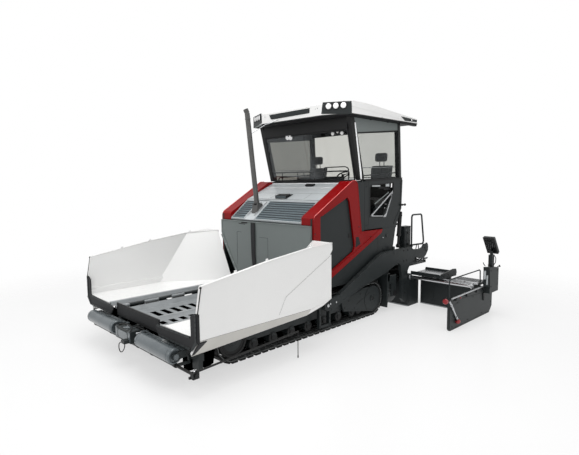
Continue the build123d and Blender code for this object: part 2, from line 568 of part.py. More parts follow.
TUBE_R = 35
TUBE_STATIONS = ((1, 5700), (-1, 5800))        # side, station of the guide tube
with BuildPart() as screed_main:
    side_profile([(SCREED_Y0, 25), (SCREED_Y0 + 25, 0), (SCREED_Y1, 0), (SCREED_Y1, SCREED_Z),
                  (SCREED_Y0, SCREED_Z)], -SCREED_X, SCREED_X)
    block((-1200, 1200), (SCREED_Y0 + 40, SCREED_Y1 + 10), (60, 500), mode=Mode.SUBTRACT)
    for x in (-1210, -620, 0, 620, 1210):
        block((x - 12, x + 12), (SCREED_Y0 + 30, SCREED_Y1), (50, 510))
    for s, y in TUBE_STATIONS:
        block(sorted((s * 1215, s * 1295)), (y - 62, y + 62), (SCREED_Z, 655))
        rod((s * 1200, y, 602), (s * 1310, y, 602), TUBE_R + 3, mode=Mode.SUBTRACT)
    block((-78, 78), (5850, 6000), (SCREED_Z, 800))

with BuildPart() as screed_deck:
    block((-1226, 1226), (5620, 6440), (800, 830))
    for s in (-1, 1):
        block(sorted((s * 1226, s * ARM_X0)), (5700, 5880), (862, 960))
        block(sorted((s * 1190, s * 1226)), (5640, 6060), (830, 980))
        # tool box on the deck
        block(sorted((s * 1010, s * 1130)), (5720, 5960), (830, 1600))
        # hand rail loop at the outer edge
        bent_bar([(s * 1206, 5880, 975), (s * 1206, 5875, 1850), (s * 1206, 6262, 1846),
                  (s * 1206, 6372, 1212), (s * 1206, 5886, 1226)], 17, 60)

with BuildPart() as extension_left:
    side_profile([(EXT_Y0, 25), (EXT_Y0 + 25, 0), (EXT_Y1, 0), (EXT_Y1, 330), (EXT_Y0, 560)], EXT_X0, EXT_X1)
    # tray above the main screed
    side_profile([(5625, TRAY_Z), (5625, 725), (5640, 725), (5640, 690), (6200, 690), (6200, 725), (6215, 725),
                  (6215, TRAY_Z)], EXT_X0 + 5, 1985)
    side_profile([(6040, 520), (6040, TRAY_Z + 5), (6120, TRAY_Z + 5), (6120, 480)], EXT_X0 + 15, 1970)
    side_profile([(5614, 655), (5652, 745), (6150, 790), (6220, 780), (6240, 720), (6222, 655)], 1975, 2015)
    # outer walkway grating
    block((2040, 2560), (6060, 6400), (560, 590))
    block((2040, 2560), (6060, 6090), (500, 565))
with BuildPart() as extension_right:
    mirror(extension_left.part, about=Plane.YZ)

GATE = [(4730, 0), (4700, 40), (4700, 470), (4760, 502), (6040, 560), (6450, 470), (6450, 120), (6330, 0)]
with BuildPart() as end_gate_left:
    side_profile(GATE, EXT_X1 + 1, GATE_X)
    side_profile([(6060, 430), (6010, 930), (6450, 880), (6450, 430)], GATE_X, 2755)
    block((2635, 2705), (6250, 6350), (870, 1130))
    block((2650, 2690), (6280, 6330), (1120, 1200))
    side_profile([(6150, 1462), (6205, 1487), (6440, 1175), (6385, 1150)], 2560, 2765)
    # hand rail along the top edge
    bent_bar([(2623, 4716, 470), (2623, 4716, 882), (2623, 5925, 886), (2623, 5945, 545)], 11, 45)
    # threaded spindle of the gate with its two brackets
    rod((2668, 4650, 530), (2668, 4985, 110), 12)
    block((GATE_X, 2685), (4705, 4737), (428, 462))
    block((GATE_X, 2685), (4880, 4912), (205, 239))
with BuildPart() as end_gate_right:
    mirror(end_gate_left.part, about=Plane.YZ)

# chrome guide tubes of the extensions, each on its own station so that they pass
with BuildPart() as extension_tube_left:
    rod((1160, 5700, 602), (EXT_X1, 5700, 602), TUBE_R)
with BuildPart() as extension_tube_right:
    rod((-1160, 5800, 602), (-EXT_X1, 5800, 602), TUBE_R)

PIECES = {
    "main_frame": main_frame, "frame_cross_members": frame_cross_members, "belly_plate": belly_plate,
    "conveyor_tunnels": conveyor_tunnels, "hopper_floor": hopper_floor, "conveyors": conveyors,
    "wing_cylinders": wing_cylinders, "hopper_rear_wall": hopper_rear_wall, "body_sides": body_sides,
    "body_trim": body_trim, "hood_front": hood_front, "hood_top": hood_top, "engine_block": engine_block,
    "front_bulkhead": front_bulkhead, "rear_bulkhead": rear_bulkhead, "operator_floor": operator_floor,
    "operator_sides": operator_sides, "operator_console": operator_console, "seats": seats,
    "roof_frame": roof_frame, "windscreen": windscreen, "side_windows": side_windows, "roof": roof,
    "roof_liner": roof_liner, "exhaust_pipe": exhaust_pipe, "track_left": track_left,
    "track_right": track_right, "track_frames": track_frames, "tow_point_rails": tow_point_rails,
    "auger_support": auger_support, "deflector_plates": deflector_plates, "auger_left": auger_left,
    "auger_right": auger_right, "screed_lift_cylinders": screed_lift_cylinders, "guide_tube": guide_tube,
    "steering_guide": steering_guide, "push_beam": push_beam, "push_roller_left": push_roller_left,
    "push_roller_right": push_roller_right, "front_apron": front_apron, "wing_left": wing_left,
    "wing_right": wing_right, "wing_flap_left": wing_flap_left, "wing_flap_right": wing_flap_right,
    "service_door_left": service_door_left, "service_door_right": service_door_right,
    "tow_arms": tow_arms, "screed_main": screed_main, "screed_deck": screed_deck,
    "extension_left": extension_left, "extension_right": extension_right,
    "end_gate_left": end_gate_left, "end_gate_right": end_gate_right,
    "extension_tube_left": extension_tube_left, "extension_tube_right": extension_tube_right,
}
for name, piece in PIECES.items():
    piece.part.label = name
    export_step(piece.part, f"parts/{name}.step")
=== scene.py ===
import json
from math import atan2, cos, hypot, pi, radians, sin, sqrt

import bpy
from mathutils import Matrix, Vector


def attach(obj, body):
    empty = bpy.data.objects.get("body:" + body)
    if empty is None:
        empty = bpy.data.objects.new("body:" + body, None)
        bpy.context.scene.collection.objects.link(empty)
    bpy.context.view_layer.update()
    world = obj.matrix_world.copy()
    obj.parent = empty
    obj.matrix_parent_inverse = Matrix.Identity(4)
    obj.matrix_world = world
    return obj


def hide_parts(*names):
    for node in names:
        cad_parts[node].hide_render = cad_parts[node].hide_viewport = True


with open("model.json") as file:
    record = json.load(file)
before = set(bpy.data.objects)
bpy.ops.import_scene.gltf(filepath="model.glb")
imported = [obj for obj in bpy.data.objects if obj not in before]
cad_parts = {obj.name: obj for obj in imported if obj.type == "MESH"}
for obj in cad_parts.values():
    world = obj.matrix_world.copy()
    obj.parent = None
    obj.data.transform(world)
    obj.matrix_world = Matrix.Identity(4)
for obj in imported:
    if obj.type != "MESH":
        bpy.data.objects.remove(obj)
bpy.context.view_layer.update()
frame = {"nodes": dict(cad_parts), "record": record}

NODES = frame["nodes"]
SLOT_OF = {s["node"]: s["material_slot"] for s in frame["record"]["subparts"]}


# ------------------------------------------------------------------ helpers
# Places are in millimetres: x, station (distance in Y behind the front plane) and z.
def P(x, y, z):
    return Vector((x / 1000.0, (y - 3300.0) / 1000.0, z / 1000.0))


def lerp(a, b, t):
    return a + (b - a) * t


def rounded(points, r, n=4):
    """A polyline with its inner corners cut by short curves of about radius r (mm)."""
    pts = [Vector(p) for p in points]
    out = [pts[0]]
    for i in range(1, len(pts) - 1):
        a, b, c = pts[i - 1], pts[i], pts[i + 1]
        d0, d1 = (a - b), (c - b)
        k = min(r, d0.length * 0.45, d1.length * 0.45)
        p0, p1 = b + d0.normalized() * k, b + d1.normalized() * k
        for j in range(n + 1):
            t = j / n
            out.append((1 - t) ** 2 * p0 + 2 * t * (1 - t) * b + t * t * p1)
    out.append(pts[-1])
    return out


class Kit:
    """Collects mesh pieces; each finish used becomes one object riding the body."""

    def __init__(self, name, body, bevel=2.0, segments=2):
        self.name, self.body, self.bevel, self.segments = name, body, bevel, segments
        self.sets = {}
        self.key = None

    def use(self, finish):
        self.key = finish
        self.sets.setdefault(finish, ([], []))
        return self

    def add(self, verts, faces):
        v, f = self.sets[self.key]
        k = len(v)
        v.extend(Vector(p) for p in verts)
        f.extend(tuple(i + k for i in face) for face in faces)

    # a prism: outline in a plane, pushed along the third axis
    def prism(self, outline, axis, a, b):
        def at(u, w, s):
            return {"x": (s, u, w), "y": (u, s, w), "z": (u, w, s)}[axis]
        n = len(outline)
        area = sum(outline[i][0] * outline[(i + 1) % n][1] - outline[(i + 1) % n][0] * outline[i][1] for i in range(n))
        pts = list(outline) if area > 0 else list(outline)[::-1]
        if axis == "y":
            pts = pts[::-1]
        lo, hi = min(a, b), max(a, b)
        verts = [at(u, w, lo) for u, w in pts] + [at(u, w, hi) for u, w in pts]
        faces = [tuple(range(n))[::-1], tuple(range(n, 2 * n))]
        faces += [(i, (i + 1) % n, n + (i + 1) % n, n + i) for i in range(n)]
        self.add(verts, faces)
        return self

    def block(self, x, y, z):
        x, y, z = sorted(x), sorted(y), sorted(z)
        return self.prism([(x[0], y[0]), (x[1], y[0]), (x[1], y[1]), (x[0], y[1])], "z", z[0], z[1])

    # a block set along a line from a to b: width w across, depth d along the normal "up"
    def bar(self, a, b, w, d, up=(0, 0, 1)):
        a, b, up = Vector(a), Vector(b), Vector(up)
        t = (b - a).normalized()
        s = t.cross(up).normalized() * (w / 2)
        u = s.cross(t).normalized() * (d / 2)
        ring = [s + u, -s + u, -s - u, s - u]
        verts = [a + r for r in ring] + [b + r for r in ring]
        self.add(verts, [(0, 1, 2, 3), (7, 6, 5, 4)] + [(i, i + 4, (i + 1) % 4 + 4, (i + 1) % 4) for i in range(4)])
        return self

    # turned shape: profile of (radius, distance along the axis)
    def turned(self, a, axis, profile, n=24, phase=0.0):
        a, axis = Vector(a), Vector(axis).normalized()
        u = axis.orthogonal().normalized()
        w = axis.cross(u)
        verts, faces, rings = [], [], []
        for r, h in profile:
            if r <= 1e-6:
                rings.append([len(verts)])
                verts.append(a + axis * h)
            else:
                rings.append(list(range(len(verts), len(verts) + n)))
                for k in range(n):
                    t = 2 * pi * k / n + phase
                    verts.append(a + axis * h + (u * cos(t) + w * sin(t)) * r)
        for p, q in zip(rings, rings[1:]):
            if len(p) == 1 and len(q) == 1:
                continue
            for k in range(n):
                j = (k + 1) % n
                if len(p) == 1:
                    faces.append((p[0], q[j], q[k]))
                elif len(q) == 1:
                    faces.append((p[k], p[j], q[0]))
                else:
                    faces.append((p[k], p[j], q[j], q[k]))
        if len(rings[0]) > 1:
            faces.append(tuple(rings[0][::-1]))
        if len(rings[-1]) > 1:
            faces.append(tuple(rings[-1]))
        self.add(verts, faces)
        return self

    def rod(self, a, b, r, n=20):
        a, b = Vector(a), Vector(b)
        return self.turned(a, b - a, [(r, 0), (r, (b - a).length)], n)

    def bolt(self, p, axis, r=9.0, h=7.0):
        axis = Vector(axis).normalized()
        self.turned(Vector(p), axis, [(r * 1.5, -0.5), (r * 1.5, 1.6)], 14)
        return self.turned(Vector(p), axis, [(r, 1.6), (r, h), (r * 0.8, h + 1.2)], 6)

    # pipe along a polyline
    def pipe(self, points, r, n=12, bend=0.0, flat=1.0):
        pts = rounded(points, bend) if bend else [Vector(p) for p in points]
        t = [(pts[min(i + 1, len(pts) - 1)] - pts[max(i - 1, 0)]).normalized() for i in range(len(pts))]
        u = t[0].orthogonal().normalized()
        verts, faces = [], []
        for i, p in enumerate(pts):
            u = (u - t[i] * u.dot(t[i])).normalized()
            w = t[i].cross(u)
            verts += [p + (u * cos(2 * pi * k / n) + w * (sin(2 * pi * k / n) * flat)) * r for k in range(n)]
        for i in range(len(pts) - 1):
            faces += [(i * n + k, i * n + (k + 1) % n, (i + 1) * n + (k + 1) % n, (i + 1) * n + k) for k in range(n)]
        faces += [tuple(range(n))[::-1], tuple(range((len(pts) - 1) * n, len(pts) * n))]
        self.add(verts, faces)
        return self

    def mirror(self):
        """Adds the mirror image of everything so far on the other side of the middle plane."""
        for key, (v, f) in self.sets.items():
            k = len(v)
            v.extend([Vector((-p.x, p.y, p.z)) for p in v[:k]])
            f.extend([tuple(i + k for i in face[::-1]) for face in f[:]])
        return self

    def swapped(self, name, body):
        """The mirror image as a kit of its own, on another body."""
        other = Kit(name, body, self.bevel, self.segments)
        for key, (v, f) in self.sets.items():
            other.sets[key] = ([Vector((-p.x, p.y, p.z)) for p in v], [face[::-1] for face in f])
        return other

    def done(self, stands_for=(), smooth=38):
        made = []
        for finish, (v, f) in self.sets.items():
            if not v:
                continue
            mesh = bpy.data.meshes.new(f"{self.name}_{finish}")
            mesh.from_pydata([(p[0] / 1000.0, (p[1] - 3300.0) / 1000.0, p[2] / 1000.0) for p in v], [], f)
            mesh.validate()
            mesh.shade_smooth()
            mesh.set_sharp_from_angle(angle=radians(smooth))
            mesh.update()
            o = bpy.data.objects.new(f"{self.name}_{finish}", mesh)
            bpy.context.scene.collection.objects.link(o)
            mesh.materials.append(FINISH[finish])
            if self.bevel:
                b = o.modifiers.new("edge", "BEVEL")
                b.width, b.segments, b.limit_method = self.bevel / 1000.0, self.segments, "ANGLE"
                b.angle_limit, b.harden_normals, b.use_clamp_overlap = radians(40), True, True
            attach(o, self.body)
            made.append(o)
        if stands_for and made:
            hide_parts(*stands_for)
        return made


# ------------------------------------------------------------------ materials
def rgb(r, g, b):
    """8-bit display colour to linear."""
    def f(c):
        c /= 255.0
        return c / 12.92 if c <= 0.04045 else ((c + 0.055) / 1.055) ** 2.4
    return (f(r), f(g), f(b), 1.0)


def scaled(c, k):
    return (min(1, c[0] * k), min(1, c[1] * k), min(1, c[2] * k), 1.0)


def painted(name, base, rough=0.4, metal=0.0, dark=0.82, cloud=2.2, rough_vary=0.10, bump=0.06, bump_scale=260.0,
            coat=0.0, coat_rough=0.08, dust=None, dust_amount=0.25, wear=None, wear_amount=0.5, edge=3.0,
            brushed=None, specular=0.5):
    """Paint or metal: clouded colour, orange-peel bump, dust on what faces up, wear along rounded edges."""
    m = bpy.data.materials.new(name)
    m.use_nodes = True
    nt = m.node_tree
    N, L = nt.nodes, nt.links
    s = N["Principled BSDF"]
    s.inputs["Metallic"].default_value = metal
    s.inputs["Specular IOR Level"].default_value = specular
    if coat:
        s.inputs["Coat Weight"].default_value = coat
        s.inputs["Coat Roughness"].default_value = coat_rough
    tc = N.new("ShaderNodeTexCoord")
    where = tc.outputs["Object"]
    if brushed:
        mp = N.new("ShaderNodeMapping")
        mp.inputs["Scale"].default_value = brushed
        L.new(where, mp.inputs["Vector"])
        fine_at = mp.outputs["Vector"]
    else:
        fine_at = where
    big = N.new("ShaderNodeTexNoise")
    big.inputs["Scale"].default_value = cloud
    big.inputs["Detail"].default_value = 5.0
    big.inputs["Roughness"].default_value = 0.62
    L.new(where, big.inputs["Vector"])
    fine = N.new("ShaderNodeTexNoise")
    fine.inputs["Scale"].default_value = bump_scale
    fine.inputs["Detail"].default_value = 3.0
    L.new(fine_at, fine.inputs["Vector"])

    def ramp(src, a, b, lo=0.0, hi=1.0):
        r = N.new("ShaderNodeMapRange")
        r.inputs["From Min"].default_value, r.inputs["From Max"].default_value = a, b
        r.inputs["To Min"].default_value, r.inputs["To Max"].default_value = lo, hi
        L.new(src, r.inputs["Value"])
        return r.outputs["Result"]

    def mix(fac, a, b):
        x = N.new("ShaderNodeMix")
        x.data_type = "RGBA"
        L.new(fac, x.inputs["Factor"])
        for sock, val in ((x.inputs[6], a), (x.inputs[7], b)):
            if isinstance(val, tuple):
                sock.default_value = val
            else:
                L.new(val, sock)
        return x.outputs[2]

    def times(a, b):
        x = N.new("ShaderNodeMath")
        x.operation = "MULTIPLY"
        L.new(a, x.inputs[0])
        if isinstance(b, float):
            x.inputs[1].default_value = b
        else:
            L.new(b, x.inputs[1])
        return x.outputs[0]

    colour = mix(ramp(big.outputs["Fac"], 0.36, 0.66), scaled(base, dark), base)
    geo = N.new("ShaderNodeNewGeometry")
    if dust:
        sep = N.new("ShaderNodeSeparateXYZ")
        L.new(geo.outputs["Normal"], sep.inputs["Vector"])
        up = times(ramp(sep.outputs["Z"], 0.35, 0.95), ramp(big.outputs["Fac"], 0.40, 0.70))
        colour = mix(times(up, float(dust_amount)), colour, dust)
    normal = geo.outputs["Normal"]
    if edge:
        bv = N.new("ShaderNodeBevel")
        bv.samples = 2
        bv.inputs["Radius"].default_value = edge / 1000.0
        normal = bv.outputs["Normal"]
        if wear:
            dot = N.new("ShaderNodeVectorMath")
            dot.operation = "DOT_PRODUCT"
            L.new(normal, dot.inputs[0])
            L.new(geo.outputs["Normal"], dot.inputs[1])
            worn = times(ramp(dot.outputs["Value"], 0.995, 0.90), ramp(fine.outputs["Fac"], 0.35, 0.62))
            colour = mix(times(worn, float(wear_amount)), colour, wear)
    L.new(colour, s.inputs["Base Color"])
    L.new(ramp(fine.outputs["Fac"], 0.3, 0.7, max(0.02, rough - rough_vary), min(1.0, rough + rough_vary)),
          s.inputs["Roughness"])
    bp = N.new("ShaderNodeBump")
    bp.inputs["Strength"].default_value = bump
    bp.inputs["Distance"].default_value = 0.002
    L.new(fine.outputs["Fac"], bp.inputs["Height"])
    if edge:
        L.new(normal, bp.inputs["Normal"])
    L.new(bp.outputs["Normal"], s.inputs["Normal"])
    return m


DUST = rgb(150, 146, 140)
STEEL = rgb(150, 150, 150)


def glass(name, tint, mix_in=0.10, rough=0.02, side_tint=None, reflect=0.4):
    """Thin pane: tinted see-through with a clear-coat reflection that grows at a grazing angle."""
    m = bpy.data.materials.new(name)
    m.use_nodes = True
    nt = m.node_tree
    N, L = nt.nodes, nt.links
    N.remove(N["Principled BSDF"])
    out = N["Material Output"]
    clear = N.new("ShaderNodeBsdfTransparent")
    gloss = N.new("ShaderNodeBsdfGlossy")
    gloss.inputs["Roughness"].default_value = rough
    gloss.inputs["Color"].default_value = (0.9, 0.95, 1.0, 1.0)
    tc = N.new("ShaderNodeTexCoord")
    noise = N.new("ShaderNodeTexNoise")
    noise.inputs["Scale"].default_value = 1.7
    L.new(tc.outputs["Object"], noise.inputs["Vector"])
    film = N.new("ShaderNodeMix")
    film.data_type = "RGBA"
    L.new(noise.outputs["Fac"], film.inputs["Factor"])
    film.inputs[6].default_value = tint
    film.inputs[7].default_value = scaled(tint, 0.93)
    colour = film.outputs[2]
    if side_tint:                                  # (tint between the side walls, tint of the right side)
        sep = N.new("ShaderNodeSeparateXYZ")
        L.new(tc.outputs["Object"], sep.inputs["Vector"])
        for limit, other in ((1.1, side_tint[0]), (-1.1, side_tint[1])):
            below = N.new("ShaderNodeMath")
            below.operation = "LESS_THAN"
            L.new(sep.outputs["X"], below.inputs[0])
            below.inputs[1].default_value = limit
            pick = N.new("ShaderNodeMix")
            pick.data_type = "RGBA"
            L.new(below.outputs[0], pick.inputs["Factor"])
            L.new(colour, pick.inputs[6])
            pick.inputs[7].default_value = other
            colour = pick.outputs[2]
    L.new(colour, clear.inputs["Color"])
    fr = N.new("ShaderNodeFresnel")
    fr.inputs["IOR"].default_value = 1.45
    ad = N.new("ShaderNodeMath")
    ad.operation = "MULTIPLY_ADD"
    L.new(fr.outputs["Fac"], ad.inputs[0])
    ad.inputs[1].default_value = reflect
    ad.inputs[2].default_value = mix_in * 0.2
    mx = N.new("ShaderNodeMixShader")
    L.new(ad.outputs[0], mx.inputs["Fac"])
    L.new(clear.outputs[0], mx.inputs[1])
    L.new(gloss.outputs[0], mx.inputs[2])
    L.new(mx.outputs[0], out.inputs["Surface"])
    return m


FINISH, FINISH_SLOT = {}, {}


def finish(key, slot_name, material):
    FINISH[key] = material
    FINISH_SLOT[key] = slot_name


for key, slot_name, options in (
    # key, record slot, paint settings
    ("frame", "frame_steel", dict(base=rgb(37, 42, 43), rough=0.46, specular=0.3, dust=DUST, dust_amount=0.10,
                                  wear=rgb(96, 100, 102), wear_amount=0.45)),
    ("charcoal", "charcoal_panel", dict(base=rgb(30, 35, 36), rough=0.44, specular=0.32, dark=0.92, cloud=0.9,
                                        dust=DUST, dust_amount=0.06)),
    ("black", "black_steel", dict(base=rgb(20, 21, 22), rough=0.5, specular=0.3, dust=DUST, dust_amount=0.10,
                                  wear=rgb(80, 82, 84), wear_amount=0.5)),
    ("grey", "grey_panel", dict(base=rgb(110, 117, 116), rough=0.44, specular=0.35, dark=0.92, cloud=0.8)),
    ("silver", "silver_panel", dict(base=rgb(186, 191, 193), rough=0.34, metal=0.1, coat=0.25, dark=0.86, cloud=1.1)),
    ("white", "white_panel", dict(base=rgb(229, 229, 228), rough=0.32, coat=0.35, dark=0.965, cloud=0.7,
                                  bump=0.03, wear=rgb(198, 198, 196), wear_amount=0.35)),
    ("red", "red_trim", dict(base=rgb(132, 3, 6), rough=0.38, coat=0.12, coat_rough=0.12, specular=0.12, dark=0.86, cloud=0.8,
                             bump=0.03, edge=9.0)),
    ("wear", "wear_plate", dict(base=rgb(142, 146, 148), rough=0.46, metal=0.1, dark=0.82, cloud=6.0,
                                bump=0.18, bump_scale=90.0, wear=rgb(190, 190, 192), wear_amount=0.6,
                                brushed=(6.0, 1.0, 6.0))),
    ("roller", "roller_steel", dict(base=rgb(94, 102, 106), rough=0.30, metal=0.1, coat=0.45, dark=0.8, cloud=3.0,
                                    dust=DUST, dust_amount=0.12, wear=rgb(150, 154, 156), wear_amount=0.6)),
    ("cast", "cast_block", dict(base=rgb(70, 72, 74), rough=0.6, bump=0.2, bump_scale=120.0)),
    ("exhaust", "exhaust_steel", dict(base=rgb(96, 96, 95), rough=0.38, metal=0.5, dark=0.80, cloud=4.0,
                                      bump=0.05, brushed=(1.0, 1.0, 0.1))),
    ("chrome", "chrome_rod", dict(base=rgb(205, 206, 208), rough=0.14, metal=1.0, dark=0.92, bump=0.02, edge=0.0)),
    ("plastic", "dark_plastic", dict(base=rgb(28, 29, 31), rough=0.55, specular=0.3, bump=0.25, bump_scale=420.0, dark=0.9)),
    ("rubber", "flap_rubber", dict(base=rgb(30, 31, 33), rough=0.62, specular=0.3, bump=0.22, bump_scale=180.0, dark=0.86,
                                   dust=DUST, dust_amount=0.12)),
    ("pad", "track_rubber", dict(base=rgb(18, 18, 19), rough=0.75, specular=0.25, bump=0.35, bump_scale=140.0, dark=0.8,
                                 dust=DUST, dust_amount=0.22)),
    # finishes of the small pieces
    ("louvre", "charcoal_panel", dict(base=rgb(100, 113, 119), rough=0.38, coat=0.15, dark=0.9, cloud=1.5)),
    # near-black lines for joints, and in places painted shade of gaps and creases
    ("seam_and_shade", "black_steel", dict(base=rgb(16, 17, 18), rough=0.7, edge=0.0)),
    ("knob", "red_trim", dict(base=rgb(150, 18, 28), rough=0.35, coat=0.3, bump=0.05)),
    ("strip", "white_panel", dict(base=rgb(246, 247, 248), rough=0.18, coat=0.6, dark=0.98, bump=0.01)),
    ("bright", "silver_panel", dict(base=rgb(196, 198, 200), rough=0.24, metal=0.85, dark=0.85, cloud=9.0,
                                    brushed=(1.0, 8.0, 1.0))),
    ("lens", "silver_panel", dict(base=rgb(250, 250, 250), rough=0.10, coat=1.0, dark=0.96, bump=0.25,
                                  bump_scale=60.0, edge=0.0)),
    ("screen", "dark_plastic", dict(base=rgb(14, 15, 17), rough=0.12, coat=1.0, coat_rough=0.03, edge=0.0, bump=0.01)),
    ("tread", "frame_steel", dict(base=rgb(96, 98, 98), rough=0.5, metal=0.4, dark=0.75, cloud=8.0,
                                  wear=rgb(150, 150, 150), wear_amount=0.6)),
    # the wing's white darkened: painted shade for the down-facing bevel
    ("skirt_painted_shade", "grey_panel", dict(base=rgb(196, 194, 188), rough=0.4, coat=0.2, dark=0.92)),
    # pinkish red for a painted highlight along the trim's crease
    ("red_painted_highlight", "red_trim", dict(base=rgb(214, 84, 82), rough=0.18, coat=0.8, bump=0.02, edge=0.0)),
    # near-black without shine: painted shade for gaps and hollows
    ("painted_shade", "black_steel", dict(base=rgb(1, 1, 1), rough=1.0, specular=0.0, edge=0.0, bump=0.01)),
    ("shaded", "dark_plastic", dict(base=rgb(12, 12, 13), rough=0.7, bump=0.1, specular=0.2)),
):
    finish(key, slot_name, painted(key, **options))
finish("pane", "window_glass", glass("pane", (0.965, 0.965, 0.96, 1.0), mix_in=0.0, reflect=0.10))
finish("side_pane", "window_glass", glass("side_pane", (0.87, 0.875, 0.87, 1.0), mix_in=0.0, reflect=0.07,
                                          side_tint=((0.81, 0.81, 0.79, 1.0), (0.45, 0.452, 0.43, 1.0))))


def woven(name, base):
    """Seat cloth: a fine two-way weave with sheen."""
    m = bpy.data.materials.new(name)
    m.use_nodes = True
    nt = m.node_tree
    N, L = nt.nodes, nt.links
    s = N["Principled BSDF"]
    s.inputs["Roughness"].default_value = 0.85
    s.inputs["Sheen Weight"].default_value = 0.08
    tc = N.new("ShaderNodeTexCoord")
    waves = []
    for turn in (0.0, pi / 2):
        mp = N.new("ShaderNodeMapping")
        mp.inputs["Rotation"].default_value = (0.4, turn, turn)
        L.new(tc.outputs["Object"], mp.inputs["Vector"])
        w = N.new("ShaderNodeTexWave")
        w.inputs["Scale"].default_value = 120.0
        w.inputs["Distortion"].default_value = 1.2
        w.inputs["Detail"].default_value = 2.0
        L.new(mp.outputs["Vector"], w.inputs["Vector"])
        waves.append(w.outputs["Fac"])
    both = N.new("ShaderNodeMath")
    both.operation = "MULTIPLY"
    L.new(waves[0], both.inputs[0])
    L.new(waves[1], both.inputs[1])
    mx = N.new("ShaderNodeMix")
    mx.data_type = "RGBA"
    L.new(both.outputs[0], mx.inputs["Factor"])
    mx.inputs[6].default_value = scaled(base, 0.7)
    mx.inputs[7].default_value = scaled(base, 1.25)
    L.new(mx.outputs[2], s.inputs["Base Color"])
    bp = N.new("ShaderNodeBump")
    bp.inputs["Strength"].default_value = 0.35
    bp.inputs["Distance"].default_value = 0.002
    L.new(both.outputs[0], bp.inputs["Height"])
    L.new(bp.outputs["Normal"], s.inputs["Normal"])
    return m


finish("cloth", "seat_fabric", woven("cloth", rgb(34, 35, 32)))

# ------------------------------------------------------------------ finishes on the CAD pieces
BY_SLOT = {"frame_steel": "frame", "charcoal_panel": "charcoal", "black_steel": "black", "grey_panel": "grey",
           "silver_panel": "silver", "white_panel": "white", "red_trim": "red", "wear_plate": "wear",
           "roller_steel": "roller", "cast_block": "cast", "exhaust_steel": "exhaust", "chrome_rod": "chrome",
           "dark_plastic": "plastic", "window_glass": "side_pane", "seat_fabric": "cloth", "flap_rubber": "rubber",
           "track_rubber": "pad"}
for node, o in NODES.items():
    key = {"windscreen": "pane"}.get(node, BY_SLOT[SLOT_OF[node]])
    if not o.material_slots:
        o.data.materials.append(FINISH[key])
    for ms in o.material_slots:
        ms.material = FINISH[key]

# ================================================================== FRONT
# push rollers: turned, with rim grooves, a dished outer end and end bolts
for side, s in (("left", 1), ("right", -1)):
    k = Kit(f"push_roller_{side}_shell", f"push_roller_{side}", bevel=1.5)
    k.use("roller").turned((s * 370, 312, 414), (s, 0, 0), [
        (24, 24), (24, 26), (70, 26), (76, 2), (82, 0), (91, 3), (98, 12), (98, 50), (94, 53), (94, 60), (98, 63),
        (98, 440), (96.8, 441), (96.8, 444), (98, 445),
        (98, 826), (93, 830), (93, 839), (98, 843), (98, 886), (93, 896), (85, 901), (78, 901), (72, 878),
        (24, 878), (24, 880)], 48)
    for j in range(6):
        t = 2 * pi * j / 6
        k.bolt((s * 1248, 312 + 46 * cos(t), 414 + 46 * sin(t)), (s, 0, 0), 6, 5)
    k.done(stands_for=(f"push_roller_{side}",))

k = Kit("push_beam_detail", "push_beam")
k.use("roller")
for x in (-190, -95, 95, 190):                     # ribs on the middle housing
    k.prism([(232, 500), (232, 507), (372, 507), (376, 500)], "x", x - 6, x + 6)
k.turned((0, 305, 500), (0, 0, 1), [(58, 0), (58, 10), (50, 14), (28, 14), (24, 20), (0, 20)], 28)
k.block((-150, 150), (223, 230), (356, 470))       # front cover plate of the housing
k.block((-228, -165), (224, 230), (345, 488)).block((165, 228), (224, 230), (345, 488))
for x in (-135, 135):
    for z in (370, 456):
        k.bolt((x, 223, z), (0, -1, 0), 7, 6)
for x in (-196, 196):
    for z in (360, 474):
        k.bolt((x, 224, z), (0, -1, 0), 7, 6)
for s in (-1, 1):                                  # top plate and arms of the beam behind the rollers
    k.block((s * 345, s * 1276), (399, 450), (470, 478))
    for x in range(390, 1270, 110):
        k.bolt((s * x, 425, 478), (0, 0, 1), 8, 6)
    k.prism([(s * 236, 378), (s * 345, 452), (s * 236, 452)], "z", 480, 488)
    for x in (440, 620, 800, 980, 1160):
        k.prism([(414, 395), (420, 392), (420, 466), (401, 466)], "x", s * x - 4, s * x + 4)
    k.turned((s * 1302, 312, 414), (s, 0, 0), [(38, 0), (38, 5), (32, 8), (16, 8), (0, 8)], 28)
    for j in range(4):
        t = pi / 4 + j * pi / 2
        k.bolt((s * 1306, 312 + 26 * cos(t), 414 + 26 * sin(t)), (s, 0, 0), 5, 4)
k.use("bright")
for x in (-262, 262):                              # two short clamping cylinders on the beam
    k.rod((x, 300, 470), (x, 384, 470), 13, 18)
k.use("roller")
for x in (-262, 262):
    k.turned((x, 384, 470), (0, 1, 0), [(20, 0), (22, 2), (22, 60), (18, 64)], 20)
k.use("black")
k.pipe([(-205, 250, 505), (-150, 300, 528), (-60, 336, 522), (60, 336, 522), (150, 300, 528), (205, 250, 505)], 8, bend=40)
k.pipe([(262, 440, 488), (262, 420, 500), (120, 400, 506), (40, 396, 500)], 7, bend=40)
k.use("chrome").turned((0, 305, 520), (0, 0, 1), [(5, 0), (5, 10), (8, 10), (8, 15), (0, 17)], 12)
k.done()

# towing eye that hangs from the housing: a bent steel bar
k = Kit("hanging_tow_loop", "push_beam", bevel=0)
k.use("black").pipe([(176, 170, 352), (196, 164, 318), (178, 160, 268), (110, 160, 208), (48, 160, 196), (6, 162, 232),
                     (2, 166, 300), (60, 170, 338), (132, 170, 352)], 6.5, bend=42, n=10)
k.done()

